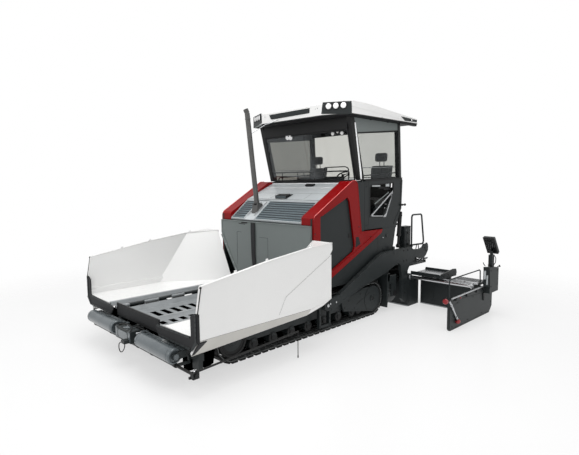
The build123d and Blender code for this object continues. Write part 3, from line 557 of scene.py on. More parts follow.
# steering guide: collars on the tube, silver pin in the end clamp, handle
k = Kit("guide_tube_collars", "chassis", bevel=1.5)
k.use("black")
for x in (-1225, -640, -240, 240, 640, 1225):
    k.turned((x - 26, 340, 285), (1, 0, 0), [(26, 0), (28.5, 0), (30.5, 3), (30.5, 49), (28.5, 52), (26, 52)], 24)
k.done()
k = Kit("steering_guide_fittings", "steering_guide", bevel=1.5)
k.use("chrome").turned((1657, 336, 326), (0, 0, 1), [(16, 0), (16, 10), (11, 14), (11, 26), (14, 28), (14, 34), (0, 36)], 18)
k.use("black").turned((1700, 340, 285), (1, 0, 0), [(18, 0), (25, 0), (25, 8), (20, 12), (0, 12)], 20)
k.turned((1672, 352, 327), (0, 1, 0.05), [(13, 0), (20, 0), (20, 30), (13, 34)], 18)
for y in (700, 1300, 1900):
    z = 325 + (y - 340) / 1720 * 85
    k.turned((1672, y, z), (0, 1, 0.05), [(13, 0), (15.5, 1), (15.5, 24), (13, 25)], 16)
k.turned((1672, 2052, 60), (0, 0, -1), [(6, 0), (9, 4), (9, 30), (0, 40)], 12)
k.done()

# painted shade behind the rollers, under the apron: a flat black sheet with a row of bolts
k = Kit("front_cross_detail", "chassis")
k.use("painted_shade").block((-690, 690), (562, 568), (296, 483))
k.use("black")
for x in range(-560, 561, 160):
    k.bolt((x, 585, 396), (0, -1, 0), 7, 6)
k.done()

# ------------------------------------------------------------------ hopper wings
def wall_z(y):
    """Top edge of a wing's outer wall at a station."""
    pts = [(402, 1005), (458, 1320), (1500, 1483), (2310, 1577), (2825, 1608)]
    for (a, za), (b, zb) in zip(pts, pts[1:]):
        if y <= b:
            return lerp(za, zb, (y - a) / (b - a))
    return pts[-1][1]


HINGE = (790, 610)
wing = Kit("wing_left_detail", "hopper_wing_left", bevel=1.5)
wing.use("white")
# rolled rim along the top and down the front edge
top = [(y, wall_z(y)) for y in (458, 980, 1500, 1900, 2310, 2823)]
for (a, za), (b, zb) in zip(top, top[1:]):
    wing.bar((1640, a, za + 1), (1640, b, zb + 1), 50, 9, up=(0, 0, 1))
wing.bar((1640, 403, 1002), (1640, 457, 1318), 50, 7, up=(0, -1, 0.2))
# rim of the cap over the corner pocket
wing.bar((1612, 2312, 1580), (1276, 2806, 1609), 9, 14)
wing.block((1276, 1660), (2814, 2823), (1570, 1612))
# folded crease across the outer wall and its welded stiffener at the rear
wing.prism([(2800, 1435), (2770, 1413), (1835, 949), (1700, 720), (2802, 770)], "x", 1659, 1662)
# tabs on the top edge
for y in (1000, 1530, 2380):
    wing.prism([(y - 26, wall_z(y) - 2), (y - 18, wall_z(y) + 30), (y + 18, wall_z(y) + 34), (y + 26, wall_z(y) + 4)],
               "x", 1612, 1622)
# stiffening ribs under the floor, seen from below
for y in (760, 1180, 1640, 2080, 2500):
    wing.prism([(1156, 656), (1156, 664), (1470, 664), (1470, 625), (1300, 645)], "y", y - 5, y + 5)
wing.use("skirt_painted_shade")
# bevelled lower edge: a sheet over it in the wall's white darkened, painted shade on the down-facing bevel
wing.add([(1662, 404, 672), (1662, 2330, 672), (1662, 2790, 745), (1490, 404, 445), (1590, 2330, 575)],
         [(0, 3, 4, 1), (1, 4, 2)])
# dark lines along the top of the skirt and down the fold: painted shade in the creases
wing.use("seam_and_shade")
wing.bar((1660.8, 410, 674), (1660.8, 2330, 674), 2.4, 1.0, up=(1, 0, 0))
wing.bar((1662.5, 1700, 722), (1662.5, 1835, 951), 2.0, 1.0, up=(1, 0, 0))
wing.bar((1662.5, 1835, 951), (1662.5, 2770, 1415), 2.6, 1.0, up=(1, 0, 0))
wing.use("frame")
# clamp strip and bolts that hold the rubber along the wing's front
wing.bar((705, 384, 668), (1500, 384, 694), 30, 5, up=(0, -1, 0))
wing.bar((752, 383, 546), (1508, 383, 546), 28, 7, up=(0, -1, 0))
wing.block((1618, 1650), (378, 385), (668, 996))
wing.prism([(1516, 534), (1552, 534), (1668, 650), (1650, 668), (1618, 668)], "y", 378, 385)
wing.use("black")
for x in range(790, 1500, 118):
    wing.bolt((x, 379.5, 546), (0, -1, 0), 7, 5)
    wing.bolt((x, 381.5, 668 + (x - 705) * 0.0327), (0, -1, 0), 6, 5)
for z in range(720, 990, 62):
    wing.bolt((1634, 378, z), (0, -1, 0), 6, 5)
# strip up the slanted front edge, with its rounded end
wing.pipe([(1664, 398, 1000), (1664, 452, 1302)], 7, n=10)
wing.turned((1652, 452, 1308), (1, 0, 0), [(6, 0), (14, 2), (14, 14), (10, 17), (0, 17)], 18)
# worn strip along the hinge side of the floor, steel knuckles
wing.use("wear")
wing.prism([(812, 695.5), (870, 695.5), (870, 693), (813, 693), (797, 650), (793, 650)], "y", 412, 2800)
for y0, y1 in ((412, 704), (956, 1214), (1456, 1704), (2196, 2444)):
    wing.prism([(790, 637), (794, 637), (797, 652), (792, 652)], "y", y0, y1)
for y0, y1 in ((706, 954), (1216, 1454), (1706, 2194), (2446, 2780)):
    wing.prism([(793, 651), (797, 651), (792, 634), (807, 598), (804, 596), (788, 634)], "y", y0, y1)
wing.use("frame")
for y0, y1 in ((706, 954), (1216, 1454), (1706, 2194), (2446, 2780)):
    wing.rod((HINGE[0], y0, HINGE[1]), (HINGE[0], y1, HINGE[1]), 24.8, 24)
wing.use("rubber")
# rubber's free edges are a little thicker; its corner wraps round to the skirt
wing.pipe([(742, 392, 533), (1150, 391, 531), (1510, 392, 533)], 5.0, n=8)
wing.pipe([(1524, 392, 718), (1523, 390, 820), (1524, 392, 946), (1566, 392, 987), (1638, 392, 1003)], 5.0, n=8, bend=30)
wing.add([(1664, 404, 655), (1667, 404, 648), (1667, 520, 652), (1664, 520, 660),
          (1484, 404, 452), (1488, 404, 444), (1494, 440, 452), (1490, 440, 460)],
         [(0, 1, 2, 3), (7, 6, 5, 4), (0, 4, 5, 1), (1, 5, 6, 2), (2, 6, 7, 3), (3, 7, 4, 0)])
wing.done()
wing.swapped("wing_right_detail", "hopper_wing_right").done()

# ------------------------------------------------------------------ hopper floor, apron and rear wall
k = Kit("hopper_floor_detail", "chassis", bevel=1.2)
k.use("wear")
for s in (-1, 1):
    k.block((s * 470, s * 600), (520, 2820), (505, 509))      # bolted wear strips beside the slots
    for y in range(600, 2800, 240):
        k.turned((s * 535, y, 509), (0, 0, 1), [(13, 0), (13, 1.5), (7, 0.2), (0, 0.2)], 16)
    k.block((s * 610, s * 694), (510, 2820), (505, 508))
k.prism([(-34, 545), (34, 545), (20, 556), (-20, 556)], "y", 622, 2828)       # cap of the centre cover
for y in range(700, 2800, 300):
    k.turned((0, y, 556), (0, 0, 1), [(10, 0), (10, 2), (0, 3)], 12)
k.use("black")
for s in (-1, 1):
    for y0, y1 in ((500, 700), (960, 1210), (1460, 1700), (2200, 2440)):      # hinge straps at the wing's edge
        k.prism([(s * 747, 576), (s * 750, 572), (s * 789, 605), (s * 786, 610)], "y", y0 + 6, y1 - 6)
k.use("painted_shade")
for s in (-1, 1):                                                             # shadow in and round the slots
    for j in range(12):
        y = 760 + j * 170
        k.block((s * 100, s * 460), (y - 46, y + 46), (504.0, 505.8))
k.done()

k = Kit("apron_detail", "apron", bevel=1.5)
k.use("rubber").block((-652, 652), (441, 447), (566, 713))
k.use("black")
k.block((-640, 640), (437, 441), (684, 706))
for x in range(-600, 601, 120):
    k.bolt((x, 437, 695), (0, -1, 0), 6, 5)
k.block((-652, 652), (459, 464), (706, 716))
for x in (-480, -160, 160, 480):
    k.prism([(459, 540), (459, 690), (463, 690), (474, 545)], "x", x - 5, x + 5)
k.done()

# rear wall: two recessed service panels, seal strips with bolts, a limp rubber strip in the middle
k = Kit("hopper_wall_detail", "chassis", bevel=1.2)
k.use("black").block((-560, -390), (2828, 2836), (1790, 1812))
k.use("seam_and_shade")
Y0 = 2834.2
for pts in (((-700, 1000), (-700, 1620), (-560, 1620)), ((-60, 1560), (170, 1560), (170, 980))):
    for (xa, za), (xb, zb) in zip(pts, pts[1:]):
        k.bar((xa, Y0, za), (xb, Y0, zb), 4.0, 2.0, up=(0, -1, 0))
k.bar((-1186, Y0, 1826), (1186, Y0, 1826), 5.0, 2.0, up=(0, -1, 0))
k.use("grey")
k.block((-1188, 1188), (2826, 2836), (1815, 1829))
k.block((-1190, -1160), (2829, 2836), (1565, 1812)).block((1160, 1190), (2829, 2836), (1565, 1812))
k.use("grey")
for s in (-1, 1):
    k.bar((s * 1172, 2829, 1545), (s * 716, 2829, 850), 62, 10, up=(0, -1, 0))
k.use("bright")
for s in (-1, 1):
    for j in range(6):
        t = (j + 0.5) / 6
        k.bolt((s * lerp(1160, 706, t), 2824, lerp(1528, 858, t)), (0, -1, 0), 8, 6)
k.use("rubber")
n = 22
verts, faces = [], []
for i in range(n + 1):
    t = i / n
    z = lerp(1812, 892, t)
    x = -262 + 10 * sin(t * 7.0) + 96 * t + (38 * (1 - t) ** 3)
    y = 2822 - 13 * sin(t * pi) - 5 * sin(t * 9.0)
    w = lerp(58, 46, t)
    verts += [(x - w, y, z), (x + w, y - 3 * sin(5 * t), z), (x + w, y + 6 - 3 * sin(5 * t), z), (x - w, y + 6, z)]
for i in range(n):
    for j in range(4):
        a, b = i * 4 + j, i * 4 + (j + 1) % 4
        faces.append((a, b, b + 4, a + 4))
faces += [(3, 2, 1, 0), tuple(n * 4 + j for j in range(4))]
k.add(verts, faces)
k.use("seam_and_shade")
k.pipe([(-640, 2836, 1790), (-640, 2834, 1780), (-460, 2834, 1772), (-460, 2836, 1780)], 6, bend=3, n=10)    # grab handle
k.done()
# ================================================================== BODY, HOOD, TRIM
def on_slope(y, z_up=0.0, a=(2880, 1858), b=(3290, 2186)):
    """Point on the hood's front slope at a station, lifted off it along its normal: (station, z)."""
    t = (y - a[0]) / (b[0] - a[0])
    n = hypot(b[0] - a[0], b[1] - a[1])
    ny, nz = -(b[1] - a[1]) / n, (b[0] - a[0]) / n
    return (y + ny * z_up, a[1] + (b[1] - a[1]) * t + nz * z_up)


def slope_plate(k, x0, x1, y0, y1, h0, h1, a=(2880, 1858), b=(3290, 2186)):
    """Plate lying on a slope between two stations."""
    return k.prism([on_slope(y0, h0, a, b), on_slope(y1, h0, a, b), on_slope(y1, h1, a, b), on_slope(y0, h1, a, b)],
                   "x", x0, x1)


TOP_A, TOP_B = (3316, 2222), (3985, 2516)
k = Kit("hood_detail", "chassis", bevel=1.5)
# front slope: dark panel with slats, light frame round it, a small slatted panel at the pipe's foot
k.use("louvre")
slope_plate(k, -250, 925, 2898, 3282, 0.5, 3)
slope_plate(k, -925, -560, 2898, 3282, 0.5, 3)
for x0, x1 in ((-232, 905), (-905, -580)):
    for j in range(8):
        y = 2912 + j * 45.5
        k.prism([on_slope(y, 2), on_slope(y + 30, 2), on_slope(y + 30, 5), on_slope(y + 6, 17)], "x", x0, x1)
        # the dark strip in each gap between slats is painted shade of the opening
        k.use("seam_and_shade").prism([on_slope(y + 31, 2), on_slope(y + 44, 2), on_slope(y + 44, 4.5), on_slope(y + 31, 4.5)], "x", x0, x1)
        k.use("louvre")
k.use("silver")
for x0, x1, y0, y1 in ((-260, 935, 2888, 2898), (-260, 935, 3280, 3289), (-935, -552, 2888, 2898), (-935, -552, 3280, 3289),
                       (-262, -246, 2888, 3289), (921, 938, 2888, 3289), (-938, -921, 2888, 3289), (-566, -550, 2888, 3289)):
    slope_plate(k, x0, x1, y0, y1, 0.5, 13)
for y in range(2920, 3280, 62):                    # round rivets on the plain strip between the panels
    for x in (-535, -272):
        p = on_slope(y, 0.5)
        k.turned((x, p[0], p[1]), (0, -0.625, 0.78), [(7, 0), (7, 2), (4, 4), (0, 4)], 12)
# two light struts from the pipe's foot up the slope, and their lugs
k.use("bright")
for x0, x1 in ((-520, -470), (-330, -285)):
    a, b = on_slope(2960, 16), on_slope(3265, 16)
    k.bar((x0, a[0], a[1]), (x1 if x0 < -400 else x0 + 20, b[0], b[1]), 16, 12, up=(0, -0.62, 0.78))
# rounded lip where the two panels meet, and the lighter strips of the upper panel
k.use("silver")
k.pipe([(-940, 3303, 2203), (940, 3303, 2203)], 14, n=16)
slope_plate(k, -938, 938, 3330, 3352, 0, 3, TOP_A, TOP_B)
k.use("strip")
slope_plate(k, -925, 925, 3770, 3792, 0, 2.0, TOP_A, TOP_B)
slope_plate(k, -930, 930, 3958, 3982, 0, 7, TOP_A, TOP_B)
k.use("seam_and_shade")
for y in (3560, 3764):
    slope_plate(k, -930, 930, y, y + 4, 0.2, 1.2, TOP_A, TOP_B)
for x in (-330, 560):
    slope_plate(k, x, x + 4, 3352, 3560, 0.2, 1.2, TOP_A, TOP_B)
slope_plate(k, -940, 940, 3312, 3317, -2, 1.0, TOP_A, TOP_B)
# latches
k.use("black")
slope_plate(k, 120, 330, 3850, 3905, 0, 30, TOP_A, TOP_B)
slope_plate(k, 150, 300, 3838, 3850, 0, 16, TOP_A, TOP_B)
k.use("seam_and_shade")
slope_plate(k, 160, 290, 3866, 3890, 30, 31, TOP_A, TOP_B)
k.use("black")
k.prism([(3332, 2234), (3432, 2278), (3432, 2322), (3332, 2294)], "x", -163, 133)      # air box in the upper panel
k.use("louvre")
for j in range(5):
    z = 2246 + j * 9
    k.prism([(3329, z), (3334, z + 1), (3334, z + 6)], "x", -150, 120)
k.use("shaded")
k.prism([(3440, 2279), (3520, 2314), (3520, 2317), (3440, 2282)], "x", -162, 132)
# pipe's foot: flange, clamp ring, dark collar
k.use("black")
k.turned((-400, 3083, 2125), (0, -0.1178, 0.993), [(60, 0), (64, 4), (64, 26), (58, 32), (48, 32)], 28)
k.block((-468, -332), (3052, 3108), (2082, 2098))
for x in (-452, -348):
    k.bolt((x, 3066, 2098), (0, 0, 1), 8, 8)
k.use("exhaust")
k.turned((-400, 3077, 2172), (0, -0.1178, 0.993), [(46, 0), (53, 2), (53, 18), (46, 20)], 28)
k.turned((-400, 2899, 3672), (0, -0.1178, 0.993), [(46, 0), (51, 2), (51, 22), (46, 24)], 28)
for s in (-1, 1):
    k.bolt((-400 + s * 52, 3074, 2182), (s, 0, 0), 6, 10)
k.use("shaded")
k.turned((-400, 2850.5, 3848.5), (0, -0.5, 0.857), [(40, 0), (40, 2.5), (0, 2.5)], 24)
# stay between the pipe and the roof
k.use("bright").pipe([(-395, 2960, 3420), (-330, 3250, 3600), (-300, 3640, 3740)], 6, n=10)
k.done()

# side bodywork (left side, mirrored): raised bead on the red frame, notch, bolts, seams, grommets
k = Kit("body_side_detail", "chassis", bevel=2.0)
k.use("red")
ring = [(2889, 935), (2889, 1926), (2918, 1982), (3884, 2543), (3984, 2546), (4026, 2496), (4145, 1640)]
for a, b in zip(ring, ring[1:]):                   # rounded outer bead
    k.bar((1221, a[0], a[1]), (1221, b[0], b[1]), 16, 8, up=(1, 0, 0))
door = [(3080, 1985), (3742, 2276), (3802, 2194), (3955, 1396)]
for a, b in zip(door, door[1:]):
    k.bar((1222, a[0], a[1]), (1222, b[0], b[1]), 14, 8, up=(1, 0, 0))
# pinkish red bead along the rail's outer edge: a painted highlight on the crease
k.use("red_painted_highlight").pipe([(1217, 2890, 1936), (1217, 2921, 1990), (1217, 3880, 2549), (1217, 3985, 2552)], 8, bend=20)
k.use("red")
# lower sweep of the frame: a swelling rail that runs back to the platform
k.prism([(2885, 930), (3325, 930), (3480, 1000), (4300, 1365), (4760, 1575), (4800, 1640), (4700, 1640), (4250, 1432),
         (3900, 1275), (3420, 1072), (3250, 1010), (2885, 1010)], "x", 1222, 1232)
k.use("seam_and_shade")
k.prism([(3972, 1372), (4118, 1428), (4060, 1560), (3986, 1560)], "x", 1221.5, 1224)        # shadowed pocket
k.use("black")
for y, z in ((2916, 1010), (2916, 1700), (4070, 1735), (4420, 1530), (3350, 965)):
    k.bolt((1222, y, z), (1, 0, 0), 9, 6)
k.use("seam_and_shade")
k.bar((1190.6, 4110, 1640), (1190.6, 4110, 2540), 4, 1.6, up=(1, 0, 0))
k.bar((1190.6, 2885, 842), (1190.6, 5085, 842), 4, 1.6, up=(1, 0, 0))
k.bar((1190.6, 4700, 1560), (1190.6, 4700, 860), 4, 1.6, up=(1, 0, 0))
k.use("charcoal")
k.prism([(2885, 752), (5052, 752), (5058, 790), (2885, 790)], "x", 1190, 1196)
for y, z in ((4990, 1500), (4900, 1250)):
    k.turned((1190, y, z), (1, 0, 0), [(34, 0), (34, 8), (26, 12), (0, 12)], 24)
k.use("black")
for y in range(2960, 5000, 260):
    k.bolt((1196, y, 771), (1, 0, 0), 7, 5)
k.prism([(4560, 1490), (4600, 1490), (4600, 1530), (4560, 1530)], "x", 1190, 1206)
k.use("bright")
k.turned((1190, 4860, 1470), (1, 0, 0), [(13, 0), (13, 10), (9, 14), (0, 14)], 20)
k.mirror()
k.done()

# service door (left, mirrored to its own body): folded rim, recessed latch, hinge barrels
door_kit = Kit("service_door_left_detail", "service_door_left", bevel=1.5)
door_kit.use("charcoal")
inner = [(3090, 1066), (3090, 1944), (3735, 2228), (3762, 2184), (3910, 1398), (3880, 1338), (3412, 1130), (3244, 1066)]
rim = [(3068, 1046), (3068, 1956), (3740, 2252), (3782, 2188), (3934, 1396), (3890, 1320), (3418, 1108), (3250, 1046)]
for i in range(8):
    j = (i + 1) % 8
    door_kit.prism([rim[i], rim[j], inner[j], inner[i]], "x", 1192, 1195)
door_kit.use("seam_and_shade")
for i in range(8):
    j = (i + 1) % 8
    door_kit.bar((1192.6, inner[i][0], inner[i][1]), (1192.6, inner[j][0], inner[j][1]), 3.0, 1.2, up=(1, 0, 0))
door_kit.use("black")
door_kit.prism([(3800, 1560), (3872, 1560), (3872, 1640), (3800, 1640)], "x", 1192, 1198)
door_kit.turned((1198, 3836, 1600), (1, 0, 0), [(22, 0), (22, 3), (17, 5), (0, 5)], 22)
for z0, z1 in ((1090, 1170), (1440, 1560), (1830, 1910)):
    door_kit.turned((1200, 3053.5, z0 + 2), (0, 0, 1), [(7.5, 0), (7.5, z1 - z0 - 4)], 14)
door_kit.done()
door_kit.swapped("service_door_right_detail", "service_door_right").done()

# engine seen when a door is open: ribs, pipes, filter on the plain block
k = Kit("engine_detail", "chassis", bevel=3.0)
k.use("cast")
for s in (-1, 1):
    for y in range(3190, 3960, 110):
        k.block((s * 420, s * 446), (y, y + 26), (1120, 1760))
    k.turned((s * 440, 3550, 1870), (0, 1, 0), [(0, -260), (70, -250), (84, -230), (84, 230), (70, 250), (0, 260)], 28)
    k.pipe([(s * 430, 3200, 1180), (s * 500, 3240, 1260), (s * 500, 3700, 1300), (s * 430, 3820, 1420)], 24, bend=60, n=14)
k.block((-380, 380), (3150, 3950), (1840, 1868))
k.use("black")
for s in (-1, 1):
    for y in range(3200, 3960, 110):
        k.bolt((s * 446, y + 3, 1740), (s, 0, 0), 9, 8)
    k.turned((s * 470, 3300, 1640), (0, 0, 1), [(46, -110), (52, -100), (52, 90), (40, 110), (0, 112)], 24)
k.done()
# ================================================================== ROOF, CAB, EXHAUST
def chamfer(t, out, side=1):
    """Point on the roof's front corner face: t along it from the front (0) to the side (1), "out" off it."""
    n = hypot(505, 210)
    x, y = lerp(780, 1285, t), lerp(3570, 3780, t)
    return side * (x + 210 / n * out), y - 505 / n * out


def chamfer_plate(k, outline, a, b, side=1):
    """Plate on the corner face; outline in (t, z)."""
    verts, n = [], len(outline)
    for d in (a, b):
        for t, z in outline:
            x, y = chamfer(t, d, side)
            verts.append((x, y, z))
    flip = side < 0
    faces = [tuple(range(n)), tuple(range(n, 2 * n))[::-1]] + [(i, n + i, n + (i + 1) % n, (i + 1) % n) for i in range(n)]
    area = sum(outline[i][0] * outline[(i + 1) % n][1] - outline[(i + 1) % n][0] * outline[i][1] for i in range(n))
    if (area > 0) != flip:
        faces = [f[::-1] for f in faces]
    k.add(verts, faces)
    return k


ROOF_FRONT, ROOF_EAVE = 3570, 3685
k = Kit("roof_detail", "chassis", bevel=2.5)
# bare dark inset on the front face, with a thin light frame
k.use("seam_and_shade").prism([(-562, 3836), (508, 3840), (498, 3752), (-470, 3742), (-520, 3752)], "y", 3564, 3571)
k.use("charcoal").prism([(-552, 3830), (500, 3834), (491, 3758), (-468, 3748), (-512, 3758)], "y", 3560, 3571)
# corner faces: dark panels with round lamps
k.use("charcoal")
chamfer_plate(k, [(0.0, 3706), (1.0, 3668), (0.985, 3886), (0.05, 3900)], -1, 7)
chamfer_plate(k, [(0.0, 3706), (1.0, 3668), (0.985, 3886), (0.05, 3900)], -1, 7, side=-1)
for side in (1, -1):
    for t in (0.245, 0.485, 0.73):
        x, y = chamfer(t, 6, side)
        axis = (side * 210, -505, 0)
        k.use("black").turned((x, y, 3826), axis, [(66, 0), (66, 8), (60, 14), (54, 14), (50, 6)], 32)
        k.use("lens").turned((x, y, 3826), axis, [(50, 4), (50, 9), (40, 15), (20, 18), (0, 19)], 28)
# rear side panels with one lamp each
for s in (1, -1):
    k.use("charcoal").prism([(5290, 3772), (5868, 3752), (5866, 3712), (5430, 3700)], "x", s * 1284, s * 1291)
    k.use("black").turned((s * 1290, 5655, 3736), (s, 0, 0), [(27, 0), (27, 8), (23, 11), (20, 8)], 24)
    k.use("lens").turned((s * 1290, 5655, 3736), (s, 0, 0), [(20, 6), (20, 10), (10, 13), (0, 13)], 22)
# fold along the side, dark drip lip under the shell, small recessed marks
for s in (1, -1):
    k.use("white")
    k.prism([(3790, 3806), (5880, 3700), (5880, 3692), (3790, 3796)], "x", s * 1284, s * 1288)
    k.use("black")
    k.prism([(3782, 3686), (5884, 3686), (5884, 3668), (3782, 3668)], "x", s * 1262, s * 1290)
    k.prism([(5380, 3668), (5884, 3668), (5884, 3632), (5420, 3640)], "x", s * 1215, s * 1275)
k.use("black")
k.prism([(-782, 3667), (782, 3667), (782, 3686), (-782, 3686)], "y", 3566, 3592)
for s in (1, -1):
    chamfer_plate(k, [(0, 3667), (1, 3667), (1, 3686), (0, 3686)], -24, 4, side=s)
    for t, z in ((0.0, 0.0),):
        k.use("grey")
        k.turned((s * 690, 3570, 3812), (0, -1, 0), [(9, -1), (9, 2), (6, 3), (0, 3)], 18)
k.turned((640, 3570, 3806), (0, -1, 0), [(7, -1), (7, 2), (0, 2)], 16)
k.use("grey").block((1284, 1287), (4646, 4672), (3688, 3702))
# rib across the roof's underside, lighter panel behind, header plates
k.use("shaded")
for y in (4450, 5000, 5400):
    k.block((-1180, 1180), (y, y + 30), (3640, 3658))
for s in (1, -1):
    k.use("grey")
    k.prism([(4032, 3392), (5380, 3526), (5374, 3650), (3974, 3650)], "x", s * 1164, s * 1169)
    k.use("black")
    k.prism([(4022, 3378), (5384, 3512), (5384, 3526), (4028, 3392)], "x", s * 1100, s * 1176)
k.done()

k = Kit("cab_frame_detail", "chassis", bevel=2.0)
# bright strip down each front post, dark edges
for s in (1, -1):
    k.use("strip").prism([(3988, 3560), (4022, 3560), (4204, 2668), (4204, 2580), (4172, 2580)], "x", s * 1174, s * 1179)
    k.use("black")
    k.prism([(3862, 3655), (3878, 3655), (4158, 2560), (4142, 2560)], "x", s * 1092, s * 1178)
    k.prism([(4030, 3500), (4042, 3500), (4270, 2610), (4262, 2570), (4256, 2570)], "x", s * 1150, s * 1180)
    # rear post: light outer edge, clamp coils
    k.use("bright").prism([(5494, 2620), (5506, 2620), (5441, 3650), (5431, 3650)], "x", s * 1120, s * 1177)
    k.use("frame")
    k.prism([(5418, 2604), (5428, 2604), (5364, 3650), (5354, 3650)], "x", s * 1092, s * 1180)
    k.use("black")
    for z in (2880, 2950, 3020, 3090):
        k.turned((s * 1182, 5404 - (z - 2880) * 0.06, z), (0, 0.06, -1), [(12, 0), (15, 4), (15, 30), (12, 34)], 14)
    k.pipe([(s * 1182, 5400, 3110), (s * 1182, 5404, 2700), (s * 1160, 5420, 2640)], 5, bend=60)
k.use("charcoal")
for s in (1, -1):
    k.prism([(4850, 1600), (5082, 1560), (5190, 1600), (5330, 1640), (5330, 1740), (4850, 1740)], "x", s * 1150, s * 1186)
# window gaskets
k.use("rubber")
gasket = [(4272, 2566), (5408, 2605), (5356, 3506), (4070, 3386)]
for s in (1, -1):
    for i in range(4):
        a, b = gasket[i], gasket[(i + 1) % 4]
        k.bar((s * 1145, a[0], a[1]), (s * 1145, b[0], b[1]), 26, 22, up=(1, 0, 0))
for x0, x1 in ((-1080, 1080),):
    ring = [(x0, 4131, 2568), (x1, 4131, 2568), (x1, 3920, 3436), (x0, 3920, 3436)]
    for i in range(4):
        k.bar(ring[i], ring[(i + 1) % 4], 22, 22, up=(0, 0.97, 0.235))
# rear pane in its gasket
for x0, x1 in ((-1090, 1090),):
    ring = [(x0, 5445, 2618), (x1, 5445, 2618), (x1, 5388, 3552), (x0, 5388, 3552)]
    for i in range(4):
        k.bar(ring[i], ring[(i + 1) % 4], 20, 20, up=(0, 1, 0.06))
# lamp cluster under the front header, and beside it two white ovals that paint a reflection spot on the pane
k.use("black")
k.rod((640, 3992, 3470), (1000, 3992, 3470), 9)
for x, z in ((716, 3404), (930, 3398)):
    k.turned((x, 3968, z), (0.10, -0.97, -0.15), [(0, -46), (30, -44), (40, -20), (44, 0), (44, 22), (38, 26)], 26)
    k.rod((x, 3990, z + 30), (x, 3992, 3470), 8)
k.block((770, 870), (3965, 4010), (3396, 3452))
k.use("lens")
for x, z in ((716, 3404), (930, 3398)):
    k.turned((x + 2.5, 3968 - 24, z - 3.5), (0.10, -0.97, -0.15), [(36, 0), (30, 5), (0, 8)], 24)
k.turned((815, 3964, 3428), (0, -1, 0), [(26, 0), (24, 6), (0, 9)], 22)
# two white ovals in the lamp-lens finish: a painted reflection spot on the pane
k.turned((-430, 3924, 3420), (0, -0.97, -0.24), [(0, -10), (46, -8), (54, 0), (46, 10), (0, 14)], 28)
k.turned((-350, 3926, 3412), (0, -0.97, -0.24), [(0, -10), (46, -8), (54, 0), (46, 10), (0, 14)], 28)
k.done()

# guard rails in front of the operator: two long bars, posts, raised loop on the near side
k = Kit("guard_rails", "chassis", bevel=0)
k.use("black")
k.pipe([(-1120, 4215, 2600), (-1120, 4215, 2742), (880, 4215, 2735), (880, 4215, 2600)], 13, bend=40)
k.pipe([(-1100, 4215, 2662), (240, 4215, 2655)], 9)
for x in (-890, -440, 20, 260):
    k.pipe([(x, 4215, 2740), (x, 4215, 2560)], 10)
k.pipe([(262, 4215, 2570), (262, 4215, 2790), (300, 4215, 2812), (800, 4215, 2815), (870, 4215, 2780), (870, 4215, 2570)], 10, bend=40)
k.pipe([(1090, 4290, 2560), (1090, 4310, 2640), (1130, 5100, 2688), (1130, 5405, 2712)], 11, bend=60)
k.pipe([(-1090, 4290, 2560), (-1090, 4310, 2640), (-1130, 5100, 2688), (-1130, 5405, 2712)], 11, bend=60)
k.use("bright")
for s in (1, -1):
    k.pipe([(s * 1112, 4300, 2786), (s * 1112, 4940, 2802), (s * 1112, 5350, 2820)], 7, bend=40)
    k.use("black").pipe([(s * 1060, 4945, 2800), (s * 1040, 5010, 2760), (s * 1040, 5060, 2640)], 9, bend=50)
    k.use("bright")
k.done()

# operator console: sloped panel with screens, round grips, wheel
k = Kit("console_detail", "chassis", bevel=3.0)
k.use("black")
for x in (-380, 180):
    k.prism([(4440, 2626), (4620, 2486), (4628, 2496), (4448, 2640)], "x", x, x + 220)
k.use("screen")
for x in (-366, 194):
    k.prism([(4452, 2632), (4610, 2509), (4614, 2514), (4456, 2638)], "x", x, x + 192)
k.use("plastic")
for x in (-90, -30, 30, 90):
    k.turned((x, 4510, 2586), (0, 0.62, 0.78), [(16, 0), (16, 8), (13, 12), (13, 26), (8, 30), (0, 30)], 18)
k.use("knob").turned((0, 4580, 2532), (0, 0.62, 0.78), [(22, 0), (22, 4), (14, 8), (14, 14), (24, 18), (24, 26), (0, 30)], 22)
k.use("plastic")
k.pipe([(470 + 120 * cos(2 * pi * j / 28), 4556 + 96 * sin(2 * pi * j / 28), 2672 + 60 * sin(2 * pi * j / 28)) for j in range(29)],
       13, n=10)
k.rod((470, 4520, 2560), (470, 4556, 2670), 22)
for a in (0.5, 2.6, 4.7):
    k.rod((470, 4556, 2670), (470 + 118 * cos(a), 4556 + 94 * sin(a), 2672 + 58 * sin(a)), 9)
k.turned((470, 4552, 2664), (0, -0.3, 0.95), [(30, 0), (34, 6), (30, 16), (0, 20)], 22)
k.use("black")
for s in (1, -1):                                  # seat consoles and levers
    k.block((s * 560, s * 604), (4760, 5160), (2300, 2344))
    k.block((s * 566, s * 598), (4800, 4850), (1990, 2300))
    k.rod((s * 582, 4800, 2340), (s * 582, 4770, 2440), 9)
    k.turned((s * 582, 4770, 2440), (0, -0.3, 0.95), [(10, 0), (20, 8), (22, 26), (14, 40), (0, 44)], 18)
    k.block((s * 1092, s * 1130), (4800, 5180), (2400, 2440))
    k.block((s * 640, s * 1060), (4760, 5160), (2060, 2082))
k.done()

